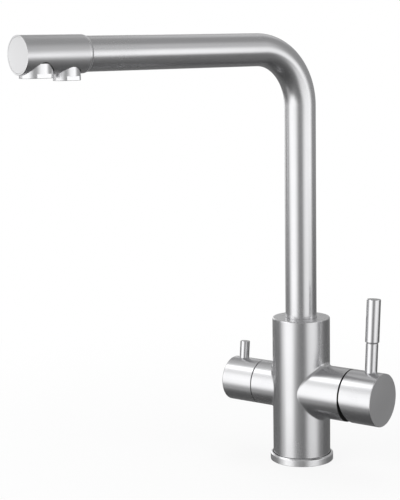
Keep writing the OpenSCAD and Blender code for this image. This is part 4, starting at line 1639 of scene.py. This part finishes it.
def sheet_mesh(name: str, points: Array, label: str, values: Array) -> bpy.types.Mesh:
    """A mesh from a grid of points, with one number at each point.

    Args:
        name: the mesh's name.
        points: the grid, rows by columns by three.
        label: the attribute's name.
        values: the attribute's values, rows by columns.

    Returns:
        The mesh.
    """
    faces = grid_cells(values.shape)
    mesh = bpy.data.meshes.new(name)
    mesh.from_pydata(points.reshape(-1, 3).tolist(), [], faces.tolist())
    mesh.attributes.new(label, "FLOAT", "POINT").data.foreach_set("value", values.ravel())
    mesh.polygons.foreach_set("use_smooth", np.ones(len(faces), dtype=bool))
    mesh.update()
    return mesh


def ramp(values: Array, start: float, end: float) -> Array:
    """A soft step: 0 before the start, 1 after the end, and 3t squared less 2t cubed between."""
    share = np.clip((values - start) / (end - start), 0.0, 1.0)
    return share * share * (3.0 - 2.0 * share)


@dataclass(frozen=True)
class Panel:
    """A soft edged panel of the light tent. Angles are in degrees, as the camera line sees them."""

    bearing: float
    half_width: float
    low: float
    high: float
    glow: float
    side_edge: float = 36.0
    end_edge: float = 14.0

    def cover(self, bearing: Array, height: Array) -> Array:
        """The panel's share of each direction: a soft step in from each of its four edges.

        Args:
            bearing: bearings off the camera line, in degrees.
            height: heights above the horizon, in degrees.

        Returns:
            The share, from 0 to 1.
        """
        aside = np.abs((bearing - self.bearing + 180.0) % 360.0 - 180.0)
        side, end = self.side_edge / 2.0, self.end_edge / 2.0
        return ((1.0 - ramp(aside, self.half_width - side, self.half_width + side))
                * ramp(height, self.low - end, self.low + end)
                * (1.0 - ramp(height, self.high - end, self.high + end)))


@dataclass
class Studio:
    """A pale floor, a white surround, three soft lamps, and a tent of soft panels for the metal to mirror."""

    eye: Corner = (0.63362, -0.99576, 0.36646)
    right: Corner = (0.80321, 0.59546, -0.01686)
    up: Corner = (-0.07622, 0.13079, 0.98848)
    back: Corner = (0.59080, -0.79267, 0.15044)
    lens: float = 99.18
    sensor: float = 36.0
    camera_line: float = -53.3
    fill: float = 0.5
    floor_level: float = -0.0004
    floor_reach: float = 6.0
    floor_rings: int = 61
    floor_spokes: int = 96
    floor_white: float = 0.95
    floor_glow: tuple[float, float] = (0.85, 0.15)
    opening: tuple[float, float] = (0.04, 0.6)
    tent_reach: float = 3.0
    tent_middle: float = 0.19
    tent_rows: int = 121
    tent_columns: int = 241
    lamp_size: float = 1.0
    lamp_reach: float = 1.6
    lamps: tuple[Corner, ...] = ((-58.0, 35.0, 7.0), (50.0, 30.0, 6.0), (175.0, 60.0, 5.0))
    gradient: tuple[tuple[float, float], ...] = (
        (-90.0, 0.08), (-60.0, 0.11), (-50.0, 0.15), (-40.0, 0.20), (-28.0, 0.22), (-17.0, 0.19),
        (-12.0, 0.26), (-6.0, 0.37), (0.0, 0.38), (30.0, 0.40), (60.0, 0.41), (90.0, 0.42))
    panels: tuple[Panel, ...] = (
        Panel(-56.0, 30.0, -25.0, 8.0, 1.65, 36.0, 16.0),
        Panel(-73.0, 18.0, -4.0, 29.0, 1.65, 14.0, 16.0),
        Panel(40.0, 22.5, -25.0, -6.0, 1.25, 26.0, 16.0),
        Panel(51.0, 29.5, -9.0, 9.0, 1.5, 36.0, 8.0),
        Panel(74.0, 9.0, -10.5, 22.0, 1.65, 18.0, 14.0),
        Panel(162.0, 16.0, 24.0, 54.0, 0.75, 16.0, 14.0),
        Panel(-84.0, 11.0, -42.0, -17.0, 0.5, 12.0, 8.0),
        Panel(-20.0, 14.0, -40.0, -14.0, 0.3, 20.0, 10.0),
        Panel(-97.0, 20.0, 40.0, 60.0, 2.6, 20.0, 10.0),
        Panel(-75.0, 22.0, 28.0, 40.0, 1.25, 16.0, 10.0),
        Panel(79.0, 14.0, 20.0, 47.0, 0.78, 16.0, 16.0),
        Panel(-158.0, 22.0, -6.0, 20.0, 1.4, 5.0, 16.0),
        Panel(-140.0, 30.0, 49.0, 63.0, 0.8, 16.0, 14.0),
        Panel(112.0, 22.0, -26.0, -9.0, 0.16, 16.0, 8.0),
        Panel(-111.0, 7.0, -6.0, 6.0, 1.0, 6.0, 4.0),
    )

    def camera(self) -> None:
        """Sets the camera where the photograph was taken from."""
        made = bpy.data.cameras.new("camera")
        made.lens = self.lens
        made.sensor_width = self.sensor
        thing = placed("camera", made)
        rows = [*zip(self.right, self.up, self.back, self.eye), (0.0, 0.0, 0.0, 1.0)]
        thing.matrix_world = Matrix(rows)
        bpy.context.scene.camera = thing

    @staticmethod
    def seen_directly(wiring: Wiring) -> bpy.types.NodeSocket:
        """Tells which rays see a surface or the surround directly.

        Args:
            wiring: the tree of a world or a material.

        Returns:
            1 for camera, glossy and transmission rays, and 0 for the rest.
        """
        path = wiring.node("ShaderNodeLightPath").outputs
        mirrored = wiring.reckon("MAXIMUM", path["Is Glossy Ray"], path["Is Transmission Ray"])
        return wiring.reckon("MAXIMUM", path["Is Camera Ray"], mirrored)

    def surround(self) -> None:
        """Makes the world white to the camera and to mirrors, and a plain fill light for everything else."""
        world = bpy.data.worlds.new("surround")
        wiring = Wiring.emptied(world)
        strength = wiring.reckon("MULTIPLY_ADD", self.seen_directly(wiring), 1.0 - self.fill, self.fill)
        light = wiring.node("ShaderNodeBackground", {"Color": (1.0, 1.0, 1.0, 1.0), "Strength": strength})
        wiring.node("ShaderNodeOutputWorld", {"Surface": light.outputs[0]})
        bpy.context.scene.world = world

    def direction(self, bearing: Array, height: Array) -> Array:
        """Unit ways out from the middle of the tent.

        A way is the bearing's own level way times the cosine of the height, plus the height's sine upwards.

        Args:
            bearing: bearings off the camera line, in degrees.
            height: heights above the horizon, in degrees.

        Returns:
            The ways.
        """
        turn = np.radians(bearing + self.camera_line)
        rise = np.radians(height)
        return np.stack((np.cos(rise) * np.cos(turn), np.cos(rise) * np.sin(turn), np.sin(rise)), axis=-1)

    def floor(self) -> None:
        """A pale disc of rings and spokes, whose surface opens into white away from the tap's shadow."""
        reach = self.floor_reach * np.linspace(0.0, 1.0, self.floor_rings)[:, None] ** 2
        spokes = full_turn(self.floor_spokes)
        points = np.stack(np.broadcast_arrays(
            reach * np.cos(spokes), reach * np.sin(spokes), self.floor_level), axis=-1)
        opening = np.broadcast_to(ramp(reach, *self.opening), points.shape[:2])
        made = placed("floor", sheet_mesh("floor", points, "opening", opening))
        made.data.materials.append(self.floor_paint())
        made.visible_glossy = False

    def floor_paint(self) -> bpy.types.Material:
        """Matt white that keeps a share of the shadow, and more of the white surround further out.

        Returns:
            The floor's material.
        """
        paint = bpy.data.materials.new("floor_paint")
        wiring = Wiring.emptied(paint)
        white = (self.floor_white, self.floor_white, self.floor_white, 1.0)
        matt = wiring.node("ShaderNodeBsdfDiffuse", {"Color": white})
        near, further = self.floor_glow
        share = wiring.reckon("MULTIPLY_ADD", wiring.attribute("opening", "Fac"), further, near)
        share = wiring.reckon("MULTIPLY", share, self.seen_directly(wiring))
        both = wiring.node("ShaderNodeMixShader")
        glow = wiring.node("ShaderNodeEmission")
        for socket, value in zip(both.inputs, (share, matt.outputs[0], glow.outputs[0])):
            wiring.feed(socket, value)
        wiring.node("ShaderNodeOutputMaterial", {"Surface": both.outputs[0]})
        return paint

    def tent(self) -> None:
        """A sphere that only mirrors see: a gradient by height, with each panel's glow laid over it."""
        height, bearing = np.meshgrid(np.linspace(-90.0, 90.0, self.tent_rows),
                                      np.linspace(0.0, 360.0, self.tent_columns), indexing="ij")
        glow = np.interp(height, *np.transpose(self.gradient))
        for panel in self.panels:
            glow = glow + (panel.glow - glow) * panel.cover(bearing, height)
        points = UP * self.tent_middle + self.tent_reach * self.direction(bearing, height)
        made = placed("tent", sheet_mesh("tent", points, "glow", glow))
        cloth = bpy.data.materials.new("tent_cloth")
        cloth.cycles.emission_sampling = "NONE"
        wiring = Wiring.emptied(cloth)
        lit = wiring.node("ShaderNodeEmission", {"Strength": wiring.attribute("glow", "Fac")})
        wiring.node("ShaderNodeOutputMaterial", {"Surface": lit.outputs[0]})
        made.data.materials.append(cloth)
        made.visible_camera = False
        made.visible_diffuse = False
        made.visible_transmission = False
        made.visible_shadow = False

    def lights(self) -> None:
        """Three soft lamps that light the matt pieces and the floor, each turned to the tap."""
        for number, (bearing, height, power) in enumerate(self.lamps, start=1):
            lamp = bpy.data.lights.new(f"soft_lamp_{number}", "AREA")
            lamp.size = self.lamp_size
            lamp.energy = power
            made = placed(lamp.name, lamp)
            way = self.direction(np.array(bearing), np.array(height))
            turned = Vector(way.tolist()).to_track_quat("Z", "Y").to_matrix().to_4x4()
            place = UP * self.tent_middle + self.lamp_reach * way
            made.matrix_world = Matrix.Translation(Vector(place.tolist())) @ turned
            made.visible_glossy = False

    def build(self) -> None:
        """Sets up the camera, the surround, the floor, the tent and the lamps."""
        self.camera()
        self.surround()
        self.floor()
        self.tent()
        self.lights()
        bpy.context.scene.view_settings.view_transform = "Standard"


def dress_nodes() -> None:
    """Gives each node that keeps its CAD mesh its own finish."""
    for finish, nodes in CAD_FINISHES.items():
        material = finish.material(Pattern.OBJECT)
        for name in nodes:
            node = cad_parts[name]
            for place in node.material_slots:
                place.link = "DATA"
            if node.material_slots:
                for place in node.material_slots:
                    place.material = material
            else:
                node.data.materials.append(material)
            LOG.info("%s wears %s", name, material.name)


def write_sizes() -> None:
    """Brings the view layer up to date."""
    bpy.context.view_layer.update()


def main() -> None:
    """Builds the studio and every piece, and reports each of them."""
    logging.basicConfig(level=logging.INFO, format="%(message)s")
    Studio().build()
    pieces = (BaseRing, TapBody, MixerHub, LeverRod, LeverGrip, FilterKnob, FilterPin, SpoutTube, SpoutHead,
              HeadCap, Outlet, FilteredOutlet)
    for kind in pieces:
        made = kind().build()
        LOG.info("%s rides on %s", made.name, kind.body)
    dress_nodes()
    write_sizes()


if __name__ == "__main__":
    main()
